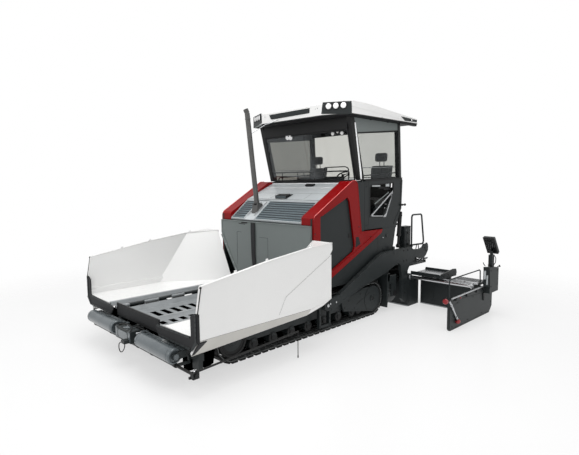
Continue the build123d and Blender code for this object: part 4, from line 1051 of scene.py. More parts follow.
# operator side plates: framed lower window, triangular brace, brackets
k = Kit("operator_side_detail", "chassis", bevel=2.0)
WIN = [(4440, 1890), (4440, 2430), (4500, 2475), (5215, 2510), (5200, 2330), (4860, 1868)]
k.use("seam_and_shade")
for i in range(6):
    a, b = WIN[i], WIN[(i + 1) % 6]
    k.bar((1188, a[0], a[1]), (1188, b[0], b[1]), 16, 12, up=(1, 0, 0))
k.use("bright")
tri = [(4478, 1900), (4950, 1872), (5196, 2350)]
for i in range(3):
    a, b = tri[i], tri[(i + 1) % 3]
    k.bar((1186, a[0], a[1]), (1186, b[0], b[1]), 26, 14, up=(1, 0, 0))
k.prism([(4478, 1900), (4560, 1895), (4520, 1950)], "x", 1180, 1192)
k.prism([(4950, 1872), (4870, 1878), (4985, 1940)], "x", 1180, 1192)
k.use("grey")
k.bar((1180, 4600, 2120), (1180, 5060, 2330), 20, 10, up=(1, 0, 0))
k.use("silver")
k.block((1172, 1180), (4520, 4780), (2440, 2470))
k.block((1172, 1180), (4960, 5080), (2440, 2500))
k.use("seam_and_shade")
k.bar((1190.8, 4392, 1670), (1190.8, 4392, 2550), 5, 2, up=(1, 0, 0))
k.bar((1190.8, 4290, 2500), (1190.8, 4430, 2506), 4, 2, up=(1, 0, 0))
k.use("black")
k.prism([(4290, 2540), (5496, 2584), (5508, 2612), (4290, 2566)], "x", 1086, 1199)
for y, z in ((4330, 1740), (4330, 2450), (5280, 1780), (5440, 2120), (5440, 2500)):
    k.bolt((1190, y, z), (1, 0, 0), 8, 6)
k.block((1190, 1214), (5438, 5520), (2052, 2092))
k.rod((1205, 5510, 2072), (1205, 5590, 2072), 13)
k.turned((1205, 5590, 2072), (0, 1, 0), [(13, 0), (24, 4), (24, 22), (13, 26)], 18)
k.use("charcoal")
k.prism([(5240, 1700), (5480, 2010), (5505, 2560), (5470, 2560), (5450, 2020), (5225, 1730)], "x", 1190, 1196)
k.mirror()
k.done()


# seats: three soft cushions each, crowned with rounded corners and a sewn seam
def cushion(name, centre, size, turn, crown, n=18):
    """Soft block in its own axes: rounded box, swelling in the middle, pinched along a sewn groove."""
    wx, wy, wz = (v / 2.0 for v in size)
    r = min(wx, wy, wz) * 0.72
    verts, faces, index = [], [], {}

    def put(p):
        key = (round(p[0], 3), round(p[1], 3), round(p[2], 3))
        if key not in index:
            index[key] = len(verts)
            q = []
            for c, h in zip(p, (wx, wy, wz)):
                q.append(max(-h + r, min(h - r, c)))
            d = Vector([a - b for a, b in zip(p, q)])
            if d.length > r:
                d = d.normalized() * r
            v = Vector(q) + d
            u, w = v.x / wx, v.y / wy
            swell = (1 - u * u) * (1 - w * w)
            if v.z > 0:
                v.z += crown * swell
                ring = max(abs(u), abs(w))
                v.z -= 7.0 * max(0.0, 1 - abs(ring - 0.70) / 0.07)
                if abs(u) < 0.66 and abs(w) < 0.66:
                    v.z -= 3.5 * max(0.0, 1 - abs(abs(w) - 0.24) / 0.06)
            verts.append(v)
        return index[key]

    m = n
    for axis in range(3):
        for s in (-1, 1):
            h = (wx, wy, wz)[axis]
            others = [(wx, wy, wz)[i] for i in range(3) if i != axis]
            for i in range(m):
                for j in range(m):
                    quad = []
                    for di, dj in ((0, 0), (1, 0), (1, 1), (0, 1)):
                        a = -others[0] + 2 * others[0] * (i + di) / m
                        b = -others[1] + 2 * others[1] * (j + dj) / m
                        p = [a, b]
                        p.insert(axis, s * h)
                        quad.append(put(p))
                    if (s > 0) != (axis != 1):
                        quad = quad[::-1]
                    faces.append(tuple(quad))
    rot = Matrix.Rotation(radians(turn), 3, "X")
    c = Vector(centre)
    k = Kit(name, "chassis", bevel=0)
    k.use("cloth").add([c + rot @ v for v in verts], faces)
    o = k.done(smooth=60)[0]
    sub = o.modifiers.new("soft", "SUBSURF")
    sub.levels = sub.render_levels = 1
    return o


for side, s in (("left", 1), ("right", -1)):
    cushion(f"seat_base_{side}", (s * 850, 4960, 2147), (476, 436, 126), 3, 16)
    cushion(f"seat_back_{side}", (s * 850, 5270, 2492), (454, 716, 112), 86, 14)
    cushion(f"seat_headrest_{side}", (s * 850, 5282, 3016), (256, 170, 100), 86, 8, 12)
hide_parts("seats")
k = Kit("seat_shells", "chassis", bevel=3.0)
k.use("plastic")
for s in (-1, 1):
    k.prism([(5218, 2092), (5232, 2092), (5398, 2848), (5382, 2852), (5345, 2852)][:2] + [(5372, 2846), (5358, 2850)], "x", s * 850 - 214, s * 850 + 214)
    for x in (-50, 50):
        k.rod((s * 850 + x, 5312, 2830), (s * 850 + x, 5300, 2960), 8)
    k.block((s * 850 - 236, s * 850 + 236), (4744, 5176), (2072, 2092))
    for x in (-262, 262):
        k.bar((s * 850 + x, 4960, 2392), (s * 850 + x, 5285, 2400), 46, 40)
        k.bar((s * 850 + x, 5270, 2400), (s * 850 + x, 5262, 2200), 30, 26, up=(0, 1, 0))
k.done()
# ================================================================== TRACKS, UNDERCARRIAGE, TOW ARMS
IDLER_Y, SPROCKET_Y, WHEEL_R, SHOES = 1330, 4620, 325, 60
STRAIGHT = SPROCKET_Y - IDLER_Y
LOOP = 2 * STRAIGHT + 2 * pi * WHEEL_R


def along(s):
    """Station, height and outward angle at distance s round the track's outside."""
    s = s % LOOP
    if s < STRAIGHT:
        return IDLER_Y + s, 0.0, -pi / 2
    s -= STRAIGHT
    if s < pi * WHEEL_R:
        a = -pi / 2 + s / WHEEL_R
        return SPROCKET_Y + WHEEL_R * cos(a), WHEEL_R + WHEEL_R * sin(a), a
    s -= pi * WHEEL_R
    if s < STRAIGHT:
        return SPROCKET_Y - s, 2.0 * WHEEL_R, pi / 2
    a = pi / 2 + (s - STRAIGHT) / WHEEL_R
    return IDLER_Y + WHEEL_R * cos(a), WHEEL_R + WHEEL_R * sin(a), a


for side, s in (("left", 1), ("right", -1)):
    k = Kit(f"track_{side}_shoes", "chassis", bevel=2.5)
    for j in range(SHOES):
        y, z, a = along(j * LOOP / SHOES)
        out, tan = (cos(a), sin(a)), (-sin(a), cos(a))

        def at(t, depth):
            return (y + tan[0] * t - out[0] * depth, z + tan[1] * t - out[1] * depth)
        k.use("pad")                               # rubber pad with slanted ends and a groove across
        for x0, x1 in ((837, 984), (992, 1138)):
            k.prism([at(-57, 30), at(-52, 4), at(-46, 0), at(46, 0), at(52, 4), at(57, 30)], "x", s * x0, s * x1)
        k.use("tread")                             # steel plate, one lip turned down
        k.prism([at(-62, 29), at(62, 29), at(66, 36), at(62, 42), at(-64, 42)], "x", s * 840, s * 1135)
        k.use("black")                             # chain links and their pin
        for x in (952, 1014):
            k.prism([at(-68, 44), at(62, 41), at(70, 48), at(70, 64), at(60, 71), at(-60, 71), at(-70, 64)], "x",
                    s * (x - 12), s * (x + 12))
        p, q = at(71.8, 56), at(71.8, 56)
        k.rod((s * 930, p[0], p[1]), (s * 1036, q[0], q[1]), 13, 12)
        for t in (-34, 34):
            for x in (900, 1072):
                p = at(t, 42)
                k.turned((s * x, p[0], p[1]), (0, -out[0], -out[1]), [(9, 0), (9, 7), (7, 8)], 6)
    k.done(stands_for=(f"track_{side}",))

k = Kit("undercarriage_detail", "chassis", bevel=2.0)
for y in (1720, 2110, 2500, 2890, 3280, 3670, 4060, 4260):          # lower rollers: flanges, caps, bolts
    k.use("black").turned((1068, y, 166), (1, 0, 0), [(80, 0), (84, 4), (84, 12), (70, 16), (42, 16), (38, 30), (0, 32)], 28)
    k.turned((906, y, 166), (-1, 0, 0), [(80, 0), (84, 4), (84, 12), (70, 16), (30, 16)], 24)
    k.use("frame").prism([(y - 44, 250), (y + 44, 250), (y + 30, 170), (y - 30, 170)], "x", 1083, 1094)
    for t in (-26, 26):
        k.use("black").bolt((1094, y + t, 232), (1, 0, 0), 7, 6)
for y in (2300, 3400):                             # upper rollers
    k.use("black").turned((1058, y, 520), (1, 0, 0), [(50, 0), (52, 3), (46, 10), (22, 12), (0, 14)], 24)
    k.use("frame").prism([(y - 46, 400), (y + 46, 400), (y + 22, 510), (y - 22, 510)], "x", 1020, 1040)
# black sheets and boxes in the dark under the wing, between the rollers and ahead of the idler: painted shade
k.use("painted_shade")
k.block((934, 944), (1560, 4320), (78, 300)).block((880, 888), (1400, 4500), (78, 420))
k.block((806, 1118), (520, 985), (300, 520))
k.prism([(500, 250), (520, 120), (880, 84), (960, 110), (990, 300), (500, 300)], "x", 1128, 1146).block((1100, 1130), (520, 985), (240, 320)).block((700, 830), (985, 2900), (300, 470))
# idler: rim, dished web, hub and adjuster
k.use("black").turned((1089, IDLER_Y, WHEEL_R), (1, 0, 0), [(242, -4), (246, 0), (246, 12), (214, 14), (206, 2)], 44)
k.use("frame").turned((1089, IDLER_Y, WHEEL_R), (1, 0, 0), [(206, 1), (120, 3), (84, 20), (84, 30), (60, 34), (0, 36)], 36)
for j in range(6):
    t = 2 * pi * j / 6
    k.use("black").bolt((1117, IDLER_Y + 68 * cos(t), WHEEL_R + 68 * sin(t)), (1, 0, 0), 7, 6)
k.use("frame").block((930, 1030), (1480, 1700), (286, 364))
k.use("bright").rod((980, 1420, 325), (980, 1500, 325), 22)
# sprocket teeth behind the guard
k.use("black")
for j in range(17):
    a = 2 * pi * (j + 0.5) / 17
    c, d = (cos(a), sin(a)), (-sin(a), cos(a))
    pts = [(SPROCKET_Y + c[0] * r + d[0] * t, WHEEL_R + c[1] * r + d[1] * t) for r, t in
           ((236, -24), (258, -11), (264, 0), (258, 11), (236, 24))]
    k.prism(pts, "x", 966, 1000)
# guard: rim, hub with its bolt ring, long groove, bolts along the beam side
k.use("charcoal")
k.turned((1128, SPROCKET_Y, WHEEL_R), (1, 0, 0), [(246, -2), (246, 4), (232, 6), (226, 2), (226, -1)], 48)
k.prism([(3752, 262), (4520, 112), (4524, 126), (3764, 276)], "x", 1127, 1132)
k.prism([(3705, 430), (4330, 556), (4330, 544), (3712, 418)], "x", 1127, 1132)
k.use("frame").turned((1128, SPROCKET_Y, WHEEL_R), (1, 0, 0), [(66, -1), (66, 8), (58, 12), (44, 12), (44, 3), (0, 3)], 32)
k.use("seam_and_shade").turned((1131, SPROCKET_Y, WHEEL_R), (1, 0, 0), [(43, 0), (43, 1.5), (0, 1.5)], 26)
k.bar((1129, 4140, 300), (1129, 4540, 448), 12, 3, up=(1, 0, 0))
k.use("black")
for j in range(8):
    t = 2 * pi * (j + 0.5) / 8
    k.bolt((1134, SPROCKET_Y + 58 * cos(t) * 0.95, WHEEL_R + 58 * sin(t) * 0.95), (1, 0, 0), 5, 4)
for y, z in ((3790, 300), (3900, 400), (4080, 240), (4250, 470)):
    k.bolt((1128, y, z), (1, 0, 0), 10, 7)
# beam cover plates, boxes, hoses and fittings in the dark under the wing
k.use("frame")
k.prism([(1760, 300), (1770, 384), (4240, 404), (4240, 290)], "x", 1080, 1086)
for y in (1950, 2700, 3480):
    k.block((1086, 1092), (y, y + 180), (306, 384))
k.use("charcoal")
k.block((1146, 1206), (2120, 2290), (440, 600)).block((1146, 1196), (2520, 2640), (420, 580))
k.use("black")
for y in (2140, 2270, 2540, 2620):
    k.bolt((1206 if y < 2400 else 1196, y, 545), (1, 0, 0), 9, 8)
k.pipe([(1165, 1200, 590), (1165, 1700, 600), (1165, 2100, 560), (1190, 2380, 520), (1165, 2700, 570), (1165, 2990, 560)],
       15, bend=140)
k.pipe([(1168, 1200, 560), (1168, 1760, 575), (1168, 2200, 615), (1168, 2700, 600), (1168, 2990, 590)], 12, bend=120)
k.use("bright")
for y, z in ((2330, 560), (2345, 520), (2700, 520)):
    k.turned((1160, y, z), (1, 0, 0), [(14, 0), (14, 16), (10, 20), (10, 34), (0, 34)], 8)
k.mirror()
k.done()

# tow points: rack teeth, guides, adjusting cylinder's eye, pin cap
k = Kit("tow_point_detail", "chassis", bevel=1.5)
k.use("black")
for z in range(190, 690, 34):
    k.prism([(3050, z), (3058, z + 4), (3058, z + 16), (3050, z + 20)], "x", 1196, 1221)
k.use("frame")
for y0, y1 in ((3006, 3050), (3250, 3294)):
    k.block((1222, 1228), (y0 + 4, y1 - 4), (124, 400)).block((1222, 1228), (y0 + 4, y1 - 4), (600, 744))
for y in (3030, 3270):
    for z in (150, 250, 350, 640, 715):
        k.use("black").bolt((1228, y, z), (1, 0, 0), 8, 6)
k.use("bright")
k.rod((1194, 3150, 585), (1194, 3150, 700), 20)
k.turned((1300, 3150, 500), (1, 0, 0), [(29, 0), (29, 4), (22, 8), (0, 8)], 24)
k.use("frame").block((1222, 1230), (3062, 3238), (422, 440)).block((1222, 1230), (3062, 3238), (560, 578))
k.mirror()
k.done()

ARM = [(3072, 455), (3072, 545), (3120, 590), (3449, 626), (4616, 1156), (4780, 1192), (5014, 1205),
       (5740, 1205), (5810, 1150), (6120, 1125), (6225, 1150), (6290, 1212), (6370, 1212), (6412, 1160),
       (6405, 1075), (6330, 985), (6240, 925), (6100, 930), (5900, 985), (5700, 862),
       (5604, 745), (5604, 160), (5560, 120), (5480, 120), (5400, 200), (5385, 700), (5330, 900),
       (5250, 940), (4720, 781), (4066, 642), (3340, 430), (3130, 405)]
k = Kit("tow_arm_detail", "screed", bevel=2.0)
k.use("frame")
n = len(ARM)
for i in range(n):                                 # welded edge strip round the plate
    a, b = ARM[i], ARM[(i + 1) % n]
    L = hypot(b[0] - a[0], b[1] - a[1])
    ny, nz = (b[1] - a[1]) / L, -(b[0] - a[0]) / L     # points inwards for this winding
    k.prism([a, b, (b[0] + ny * 16, b[1] + nz * 16), (a[0] + ny * 16, a[1] + nz * 16)], "x", 1289, 1294)
for i in (3, 4, 5, 6):                             # top flange
    a, b = ARM[i], ARM[i + 1]
    k.bar((1261, a[0], a[1] + 3), (1261, b[0], b[1] + 3), 78, 10, up=(0, 0, 1))
for a, b in (((3449, 600), (4600, 1120)),):        # stiffener along the middle
    k.bar((1292, a[0], a[1]), (1292, b[0], b[1]), 26, 6, up=(1, 0, 0))
k.turned((1290, 5120, 1150), (1, 0, 0), [(30, 0), (30, 3), (22, 5), (0, 5)], 24)
k.use("black")
for y, z in ((3230, 470), (3230, 560), (3330, 480), (3330, 580), (5450, 1160), (5600, 1160), (5450, 960), (5560, 960),
             (5500, 500), (5500, 300), (6280, 1130), (6340, 1060)):
    k.bolt((1291, y, z), (1, 0, 0), 11, 8)
k.use("bright")
for y in (3205, 3355):
    k.turned((1291, y, 520), (1, 0, 0), [(17, 0), (17, 12), (11, 16), (0, 16)], 20)
k.use("frame")
k.block((1290, 1300), (3180, 3380), (448, 600))
k.prism([(6260, 1180), (6300, 1240), (6360, 1240), (6400, 1190), (6380, 1100), (6300, 1080)], "x", 1288, 1296)
k.turned((1296, 6330, 1170), (1, 0, 0), [(26, -1), (26, 3), (20, 5), (0, 5)], 24)
# hoses and small fittings hung under the arm's rear end
k.use("black")
k.pipe([(1262, 5940, 960), (1270, 5960, 880), (1262, 6060, 850), (1262, 6160, 900), (1262, 6200, 930)], 12, bend=40)
k.pipe([(1250, 5980, 1140), (1262, 5990, 1230), (1262, 6040, 1250), (1262, 6060, 1190), (1262, 6070, 1130)], 9, bend=40)
k.use("bright")
for y, z in ((6100, 900), (6220, 880)):
    k.turned((1262, y, z), (0, 0, 1), [(13, 0), (20, 4), (20, 22), (12, 26), (12, 44)], 8)
k.use("roller").rod((1262, 6390, 900), (1262, 6440, 905), 14)
k.use("black").block((1236, 1288), (6240, 6390), (890, 912))
# socket rim for the sensor's post
k.turned((1261, 5120, 1275), (0, 0, 1), [(21, 0), (29, 0), (29, 2.5), (22, 2.5)], 28)
k.mirror()
k.done()
# ================================================================== AUGERS, SCREED, EXTENSIONS, END GATES
k = Kit("auger_left_flights", "auger_left", bevel=1.0)
k.use("wear").turned((85, 5260, 330), (1, 0, 0), [(40, 0), (48, 4), (48, 1098), (40, 1103)], 24)
TURNS, STEPS, X0, X1 = 5.0, 34, 110.0, 1178.0
verts, faces = [], []
total = int(TURNS * STEPS)
for i in range(total + 1):
    a = 2 * pi * i / STEPS
    x = lerp(X0, X1, i / total)
    grow = min(1.0, i / 8.0, (total - i) / 8.0)
    r = lerp(120, 186, grow)
    for rr, dx in ((40, -8), (r - 16, -7), (r, -2), (r, 4), (r - 16, 7), (40, 8)):
        verts.append((x + dx, 5260 + rr * cos(a), 330 + rr * sin(a)))
for i in range(total):
    for j in range(6):
        m = (j + 1) % 6
        faces.append((i * 6 + j, i * 6 + m, (i + 1) * 6 + m, (i + 1) * 6 + j))
faces += [tuple(range(6))[::-1], tuple(range(total * 6, total * 6 + 6))]
k.use("tread").add(verts, faces)
k.use("black")
for x in (330, 650, 970):                          # bolted clamps of the flights
    k.turned((x, 5260, 330), (1, 0, 0), [(56, 0), (56, 30)], 12)
    k.bolt((x + 15, 5260, 386), (0, 0, 1), 8, 8)
left_auger = k
k.done(stands_for=("auger_left",))
left_auger.swapped("auger_right_flights", "auger_right").done(stands_for=("auger_right",))

k = Kit("auger_support_detail", "chassis", bevel=2.0)
k.use("black")
k.turned((64, 5260, 330), (1, 0, 0), [(84, 0), (84, 14), (60, 20), (52, 20)], 28)
for z in (580, 640, 900, 960):
    k.bolt((50, 5079, z), (0, -1, 0), 9, 7).bolt((-50, 5079, z), (0, -1, 0), 9, 7)
k.turned((1216, 5260, 330), (1, 0, 0), [(64, 0), (64, 4), (40, 7), (0, 7)], 26)
for x in (300, 620, 940):
    k.block((x - 5, x + 5), (5076, 5144), (700, 716))
k.use("frame").prism([(5002, 740), (5072, 740), (5072, 690), (5002, 120)], "x", 1212, 1222)
k.mirror()
k.done()

# main screed: front edge, heater boxes, wear shoe, tie bars, cover seams
k = Kit("screed_detail", "screed", bevel=1.5)
k.use("black").block((-1222, 1222), (5597, 5603), (548, 806))
for s in (1, -1):
    k.pipe([(s * 1190, 5584, 780), (s * 900, 5572, 700), (s * 500, 5572, 690), (s * 200, 5584, 760)], 16, bend=120)
    k.pipe([(s * 1200, 5584, 640), (s * 1020, 5574, 590), (s * 700, 5574, 610), (s * 300, 5584, 640)], 14, bend=120)
k.use("frame")
for s in (1, -1):
    for x0, x1 in ((30, 600), (640, 1195)):
        k.block((s * x0, s * x1), (5604, 5611), (70, 500))
        for x in (x0 + 25, x1 - 25):
            for z in (100, 470):
                k.use("black").bolt((s * x, 5604, z), (0, -1, 0), 8, 6)
        k.use("frame")
    k.block((s * 1299, s * 1305), (5640, 6010), (60, 500))
    k.use("black")
    for y in (5680, 5960):
        for z in (110, 440):
            k.bolt((s * 1305, y, z), (s, 0, 0), 8, 6)
    k.use("frame")
k.use("wear").block((-1298, 1298), (5600, 5640), (2, 26))
k.use("black")
k.pipe([(-1250, 5596, 545), (-600, 5596, 560), (600, 5596, 560), (1250, 5596, 545)], 12, bend=120)
k.pipe([(-1180, 5592, 515), (-560, 5592, 528), (560, 5592, 528), (1180, 5592, 515)], 9, bend=120)
k.use("bright")
for s, y in ((1, 5700), (-1, 5800)):
    for x in (1208, 1296):
        k.turned((s * x, y, 602), (s, 0, 0), [(38, 0), (54, 0), (54, 7), (38, 7)], 28)
# deck: ribbed walkway, boxes, tool box doors and latches, rail brackets
k.use("tread")
for x in range(-1180, 1200, 59):
    k.block((x, x + 12), (5632, 6428), (830, 834))
k.use("black")
k.block((-1224, 1224), (6428, 6444), (796, 856))
for s in (1, -1):
    k.use("charcoal")
    k.block((s * 1130, s * 1136), (5732, 5834), (850, 1580)).block((s * 1130, s * 1136), (5846, 5948), (850, 1580))
    k.block((s * 1000, s * 1140), (5712, 5968), (1600, 1614))
    k.use("grey")
    k.block((s * 1136, s * 1138), (5838, 5842), (850, 1580))
    k.use("black")
    for y in (5826, 5854):
        for z in (1000, 1240, 1480):
            k.block((s * 1136, s * 1144), (y - 8, y + 8), (z - 24, z + 24))
    for z in (1130, 1330):
        k.block((s * 1136, s * 1142), (5752, 5820), (z - 6, z + 6)).block((s * 1136, s * 1142), (5864, 5932), (z - 6, z + 6))
    k.block((s * 1186, s * 1228), (5860, 5905), (960, 1010)).block((s * 1186, s * 1228), (5860, 5900), (1190, 1240))
    k.use("bright")
    k.turned((s * 1136, 5780, 1540), (s, 0, 0), [(10, 0), (10, 6), (0, 7)], 18)
k.done()

# lift cylinders (fixed to the body in this rest state): glands, hose, eyes
k = Kit("lift_cylinder_detail", "chassis", bevel=1.2)
k.use("black")
d = (Vector((1175, 5435, 1445)) - Vector((1175, 5480, 1880))).normalized()
k.turned(Vector((1175, 5480, 1880)), d, [(30, -6), (44, 0), (44, 26), (41, 30)], 28)
k.turned(Vector((1175, 5439, 1485)), d, [(41, 0), (46, 4), (46, 34), (36, 42), (24, 42)], 28)
k.pipe([(1175, 5444, 1850), (1175, 5420, 1860), (1172, 5408, 1800), (1172, 5398, 1520), (1175, 5410, 1490)], 7, bend=30)
for z, y in ((1255, 5416), (1905, 5486)):
    k.turned((1200, y, z), (1, 0, 0), [(24, 0), (24, 6), (0, 7)], 22)
k.mirror()
k.done()

# extensions: the left kit is mirrored to the right body
k = Kit("extension_left_detail", "extension_left", bevel=1.5)
k.use("bright")
k.block((1362, 1972), (5643, 6197), (690, 693))                                 # worn tray floor
k.use("charcoal")
k.block((1352, 1974), (5622, 5628), (668, 742)).block((1352, 1974), (6212, 6218), (668, 742))
k.prism([(5606, 655), (5646, 752), (6150, 798), (6222, 788), (6248, 720), (6228, 648)], "x", 2010, 2018)
k.use("black")
for y, z in ((5680, 705), (5900, 722), (6130, 735), (6190, 690)):
    k.bolt((2018, y, z), (1, 0, 0), 9, 7)
for x in (1450, 1650, 1850):
    k.bolt((x, 5622, 705), (0, -1, 0), 7, 5)
k.block((1420, 1470), (5800, 6060), (622, 668)).block((1820, 1870), (5800, 6060), (622, 668))
k.use("frame")
for x0, x1 in ((1365, 1640), (1665, 1940), (1965, 2240), (2265, 2540)):          # front panels
    k.block((x0, x1), (6027, 6033), (80, 520))
    k.use("black")
    for x in (x0 + 22, x1 - 22):
        for z in (110, 490):
            k.bolt((x, 6027, z), (0, -1, 0), 7, 5)
    k.use("frame")
k.use("bright")
k.block((1346, 1354), (6025, 6034), (30, 556))
k.use("wear").block((1347, 2598), (6024, 6058), (2, 24))
k.use("bright")
k.pipe([(1400, 6010, 592), (2000, 6010, 592), (2560, 6010, 592)], 24)
k.use("black")
k.pipe([(1380, 6000, 584), (1700, 5996, 572), (2200, 6000, 578), (2540, 6010, 572)], 10, bend=80)
for x in (1500, 1900, 2300):
    k.block((x - 16, x + 16), (5990, 6036), (558, 612))
# grating of the outer walkway
k.use("bright")
for j in range(13):
    x = 2050 + j * 41.0
    k.block((x, x + 12), (6064, 6396), (590, 600))
k.use("tread")
for y in (6064, 6228, 6388):
    k.block((2042, 2558), (y, y + 10), (589, 602))
k.block((2036, 2044), (6058, 6402), (560, 604)).block((2556, 2564), (6058, 6402), (560, 604))
k.use("bright")
for x in (2150, 2400):
    k.block((x, x + 34), (6042, 6062), (520, 596))
# collar where the guide tube meets the outer plate
k.turned((2590, 5700, 602), (-1, 0, 0), [(36, 0), (56, 0), (56, 22), (36, 26)], 28)
# ---- end gate: top tube, two-part face, spindle with red grips, rear post box, screen
k.use("bright")
k.pipe([(2660, 4742, 556), (2660, 6054, 566)], 13)
k.rod((2668, 4650, 530), (2668, 4985, 110), 14.5)
for t in (0.16, 0.30, 0.72, 0.84):
    a = Vector((2668, 4650, 530)).lerp(Vector((2668, 4985, 110)), t)
    b = Vector((2668, 4650, 530)).lerp(Vector((2668, 4985, 110)), t + 0.07)
    k.rod(a, b, 22, 8)
k.use("charcoal")
k.prism([(4704, 44), (4704, 466), (4716, 474), (4716, 40)], "x", 2600, 2652)
k.prism([(4764, 500), (6040, 558), (6070, 546), (6070, 478), (5150, 500), (4764, 420)], "x", 2644, 2653)
k.prism([(4730, 2), (4716, 40), (4760, 24), (6310, 24), (6330, 2)], "x", 2644, 2650)
k.use("seam_and_shade")
k.bar((2646, 5120, 492), (2646, 6400, 418), 7, 3, up=(1, 0, 0))
k.bar((2646, 4790, 400), (2646, 5120, 488), 7, 3, up=(1, 0, 0))
k.use("black")
for y in (4900, 5300, 5700, 5980):
    k.block((2606, 2672), (y - 14, y + 14), (500, 560))
for y, z in ((4800, 60), (5400, 60), (6000, 60), (6400, 200), (5000, 440), (5600, 440), (6300, 380)):
    k.bolt((2645, y, z), (1, 0, 0), 9, 7)
k.prism([(6000, 430), (6060, 430), (6070, 300), (6030, 290)], "x", 2645, 2662)
k.rod((2655, 4700, 545), (2640, 4560, 542), 10)
k.use("knob")
k.turned((2641, 4582, 543), (0, -1, 0), [(14, 0), (40, 4), (44, 14), (44, 44), (36, 54), (0, 56)], 24)
k.turned((2672, 4950, 130), (0.25, 0.42, -0.85), [(16, -26), (38, -22), (42, -12), (42, 18), (34, 30), (0, 32)], 24)
k.turned((2655, 5060, 520), (1, 0, 0), [(14, 0), (14, 14), (0, 15)], 16)
k.use("charcoal")
k.prism([(6058, 520), (6016, 926), (6446, 878), (6446, 440)], "x", 2755, 2759)
k.block((2650, 2752), (6004, 6014), (560, 900))
k.use("silver")
k.block((2664, 2700), (5998, 6006), (700, 860)).block((2712, 2740), (5998, 6006), (600, 780))
k.use("black")
for y, z in ((6110, 560), (6400, 560), (6090, 860), (6400, 830)):
    k.bolt((2759, y, z), (1, 0, 0), 10, 7)
k.block((2628, 2712), (6240, 6360), (926, 940))
for z in (960, 1000, 1040, 1080):
    k.block((2704, 2708), (6262, 6338), (z, z + 12))
k.pipe([(2690, 6340, 940), (2720, 6372, 960), (2726, 6380, 1060), (2690, 6356, 1130)], 7, bend=30)
k.turned((2770, 6420, 905), (1, 0.2, 0.4), [(8, -30), (8, 0), (20, 4), (22, 22), (0, 28)], 18)
k.pipe([(2620, 6150, 925), (2600, 6130, 960), (2580, 6150, 985)], 8, bend=20)
k.use("screen")
tilt = Vector((0, 6440 - 6205, 1175 - 1487)).normalized()
nrm = Vector((0, -tilt.z, tilt.y))
if nrm.y > 0:
    nrm = -nrm
a, b = Vector((2662.5, 6150, 1462)), Vector((2662.5, 6385, 1150))
k.use("black").bar(a + tilt * -6, b + tilt * 6, 208, 14, up=nrm)
k.use("screen").bar(a + tilt * 22 + nrm * 7, b - tilt * 22 + nrm * 7, 176, 6, up=nrm)
a, b = Vector((2662.5, 6205, 1487)), Vector((2662.5, 6440, 1175))
k.use("black").bar(a + tilt * 30 - nrm * 6, b - tilt * 30 - nrm * 6, 150, 16, up=nrm)
left_ext = k
k.done()
left_ext.swapped("extension_right_detail", "extension_right").done()

# ------------------------------------------------------------------ stage, light, camera
def stage_mesh(name, verts, faces, material):
    me = bpy.data.meshes.new(name)
    me.from_pydata(verts, [], faces)
    me.materials.append(material)
    o = bpy.data.objects.new(name, me)
    bpy.context.scene.collection.objects.link(o)
    return o


def floor_material():
    """Pale studio floor that fades into the backdrop a few metres out."""
    m = bpy.data.materials.new("studio_floor")
    m.use_nodes = True
    nt = m.node_tree
    N, L = nt.nodes, nt.links
    s = N["Principled BSDF"]
    s.inputs["Roughness"].default_value = 0.30
    s.inputs["Specular IOR Level"].default_value = 0.28
    tc = N.new("ShaderNodeTexCoord")
    noise = N.new("ShaderNodeTexNoise")
    noise.inputs["Scale"].default_value = 0.6
    L.new(tc.outputs["Object"], noise.inputs["Vector"])
    mx = N.new("ShaderNodeMix")
    mx.data_type = "RGBA"
    L.new(noise.outputs["Fac"], mx.inputs["Factor"])
    mx.inputs[6].default_value = (0.86, 0.86, 0.86, 1)
    mx.inputs[7].default_value = (0.90, 0.90, 0.90, 1)
    L.new(mx.outputs[2], s.inputs["Base Color"])
    far = N.new("ShaderNodeVectorMath")
    far.operation = "LENGTH"
    L.new(tc.outputs["Object"], far.inputs[0])
    fade = N.new("ShaderNodeMapRange")
    fade.interpolation_type = "SMOOTHSTEP"
    fade.inputs["From Min"].default_value = 4.0
    fade.inputs["From Max"].default_value = 9.0
    L.new(far.outputs["Value"], fade.inputs["Value"])
    clear = N.new("ShaderNodeBsdfTransparent")
    # part of the floor's own light keeps the shadows pale
    pale = N.new("ShaderNodeEmission")
    pale.inputs["Color"].default_value = (0.93, 0.93, 0.93, 1)
    lift = N.new("ShaderNodeMixShader")
    lift.inputs["Fac"].default_value = 0.62
    L.new(s.outputs[0], lift.inputs[1])
    L.new(pale.outputs[0], lift.inputs[2])
    sh = N.new("ShaderNodeMixShader")
    L.new(fade.outputs["Result"], sh.inputs["Fac"])
    L.new(lift.outputs[0], sh.inputs[1])
    L.new(clear.outputs[0], sh.inputs[2])
    L.new(sh.outputs[0], N["Material Output"].inputs["Surface"])
    return m


R = 14.0
ring = [(R * cos(2 * pi * k / 64), R * sin(2 * pi * k / 64), -0.0005) for k in range(64)]
stage_mesh("studio_floor", ring, [tuple(range(64))], floor_material())

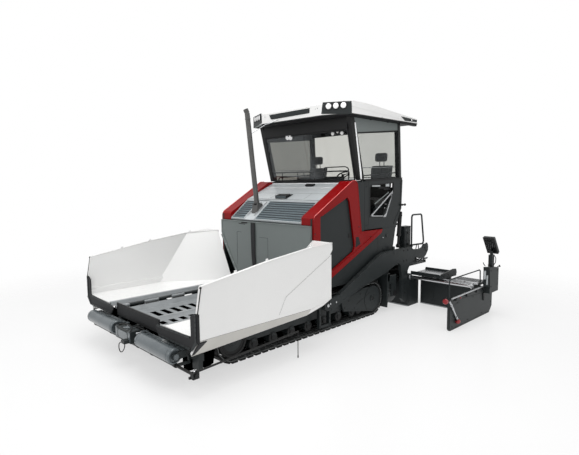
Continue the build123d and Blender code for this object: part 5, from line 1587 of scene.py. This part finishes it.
dome_mat = bpy.data.materials.new("backdrop")
dome_mat.use_nodes = True
nt = dome_mat.node_tree
nt.nodes.remove(nt.nodes["Principled BSDF"])
em = nt.nodes.new("ShaderNodeEmission")
em.inputs["Color"].default_value = (1, 1, 1, 1)
em.inputs["Strength"].default_value = 1.0
nt.links.new(em.outputs[0], nt.nodes["Material Output"].inputs["Surface"])
verts, faces = [], []
for i in range(17):
    for j in range(32):
        t, u = pi * i / 16, 2 * pi * j / 32
        verts.append((50 * sin(t) * cos(u), 50 * sin(t) * sin(u), 50 * cos(t)))
for i in range(16):
    for j in range(32):
        k = (j + 1) % 32
        faces.append((i * 32 + j, i * 32 + k, (i + 1) * 32 + k, (i + 1) * 32 + j))
dome = stage_mesh("backdrop", verts, faces, dome_mat)
dome.visible_diffuse = dome.visible_glossy = dome.visible_shadow = False
dome.visible_transmission = dome.visible_volume_scatter = False

world = bpy.data.worlds.new("studio")
bpy.context.scene.world = world
world.use_nodes = True
bg = world.node_tree.nodes["Background"]
bg.inputs["Color"].default_value = (1.0, 1.0, 1.0, 1)
bg.inputs["Strength"].default_value = 0.74


def area(name, at, to, size, power, shape="RECTANGLE", size_y=None):
    d = bpy.data.lights.new(name, "AREA")
    d.shape = shape
    d.size = size
    if size_y:
        d.size_y = size_y
    d.energy = power
    o = bpy.data.objects.new(name, d)
    o.location = at
    o.rotation_euler = (Vector(to) - Vector(at)).to_track_quat("-Z", "Y").to_euler()
    bpy.context.scene.collection.objects.link(o)
    o.visible_camera = False
    return o


area("overhead", (1.2, -0.8, 8.5), (0, 0.2, 0), 7.5, 560, size_y=9.0)
area("front_soft", (-1.5, -9.0, 5.0), (0, -0.5, 1.0), 5.0, 110, size_y=3.5)
area("side_soft", (9.5, -1.0, 4.0), (0, 0.5, 1.3), 4.0, 20, size_y=3.0)

cam = bpy.data.cameras.new("camera")
cam.sensor_width, cam.lens = 36.0, 28.4215
cam.clip_end = 200.0
eye = bpy.data.objects.new("camera", cam)
bpy.context.scene.collection.objects.link(eye)
bpy.context.scene.camera = eye
back = Vector((0.71176976, -0.69581621, 0.09603963)).normalized()
az, roll = radians(45.649), radians(-0.529)
right = Vector((cos(az), sin(az), 0.0))
up = back.cross(right)
right, up = right * cos(roll) + up * sin(roll), up * cos(roll) - right * sin(roll)
rot = Matrix((right, up, back)).transposed()
eye.matrix_world = Matrix.Translation((6.14362755, -5.76776597, 2.51602926)) @ rot.to_4x4()

view = bpy.context.scene.view_settings
view.view_transform, view.look = "Standard", "None"
view.exposure, view.gamma = 0.0, 1.0

bpy.context.view_layer.update()
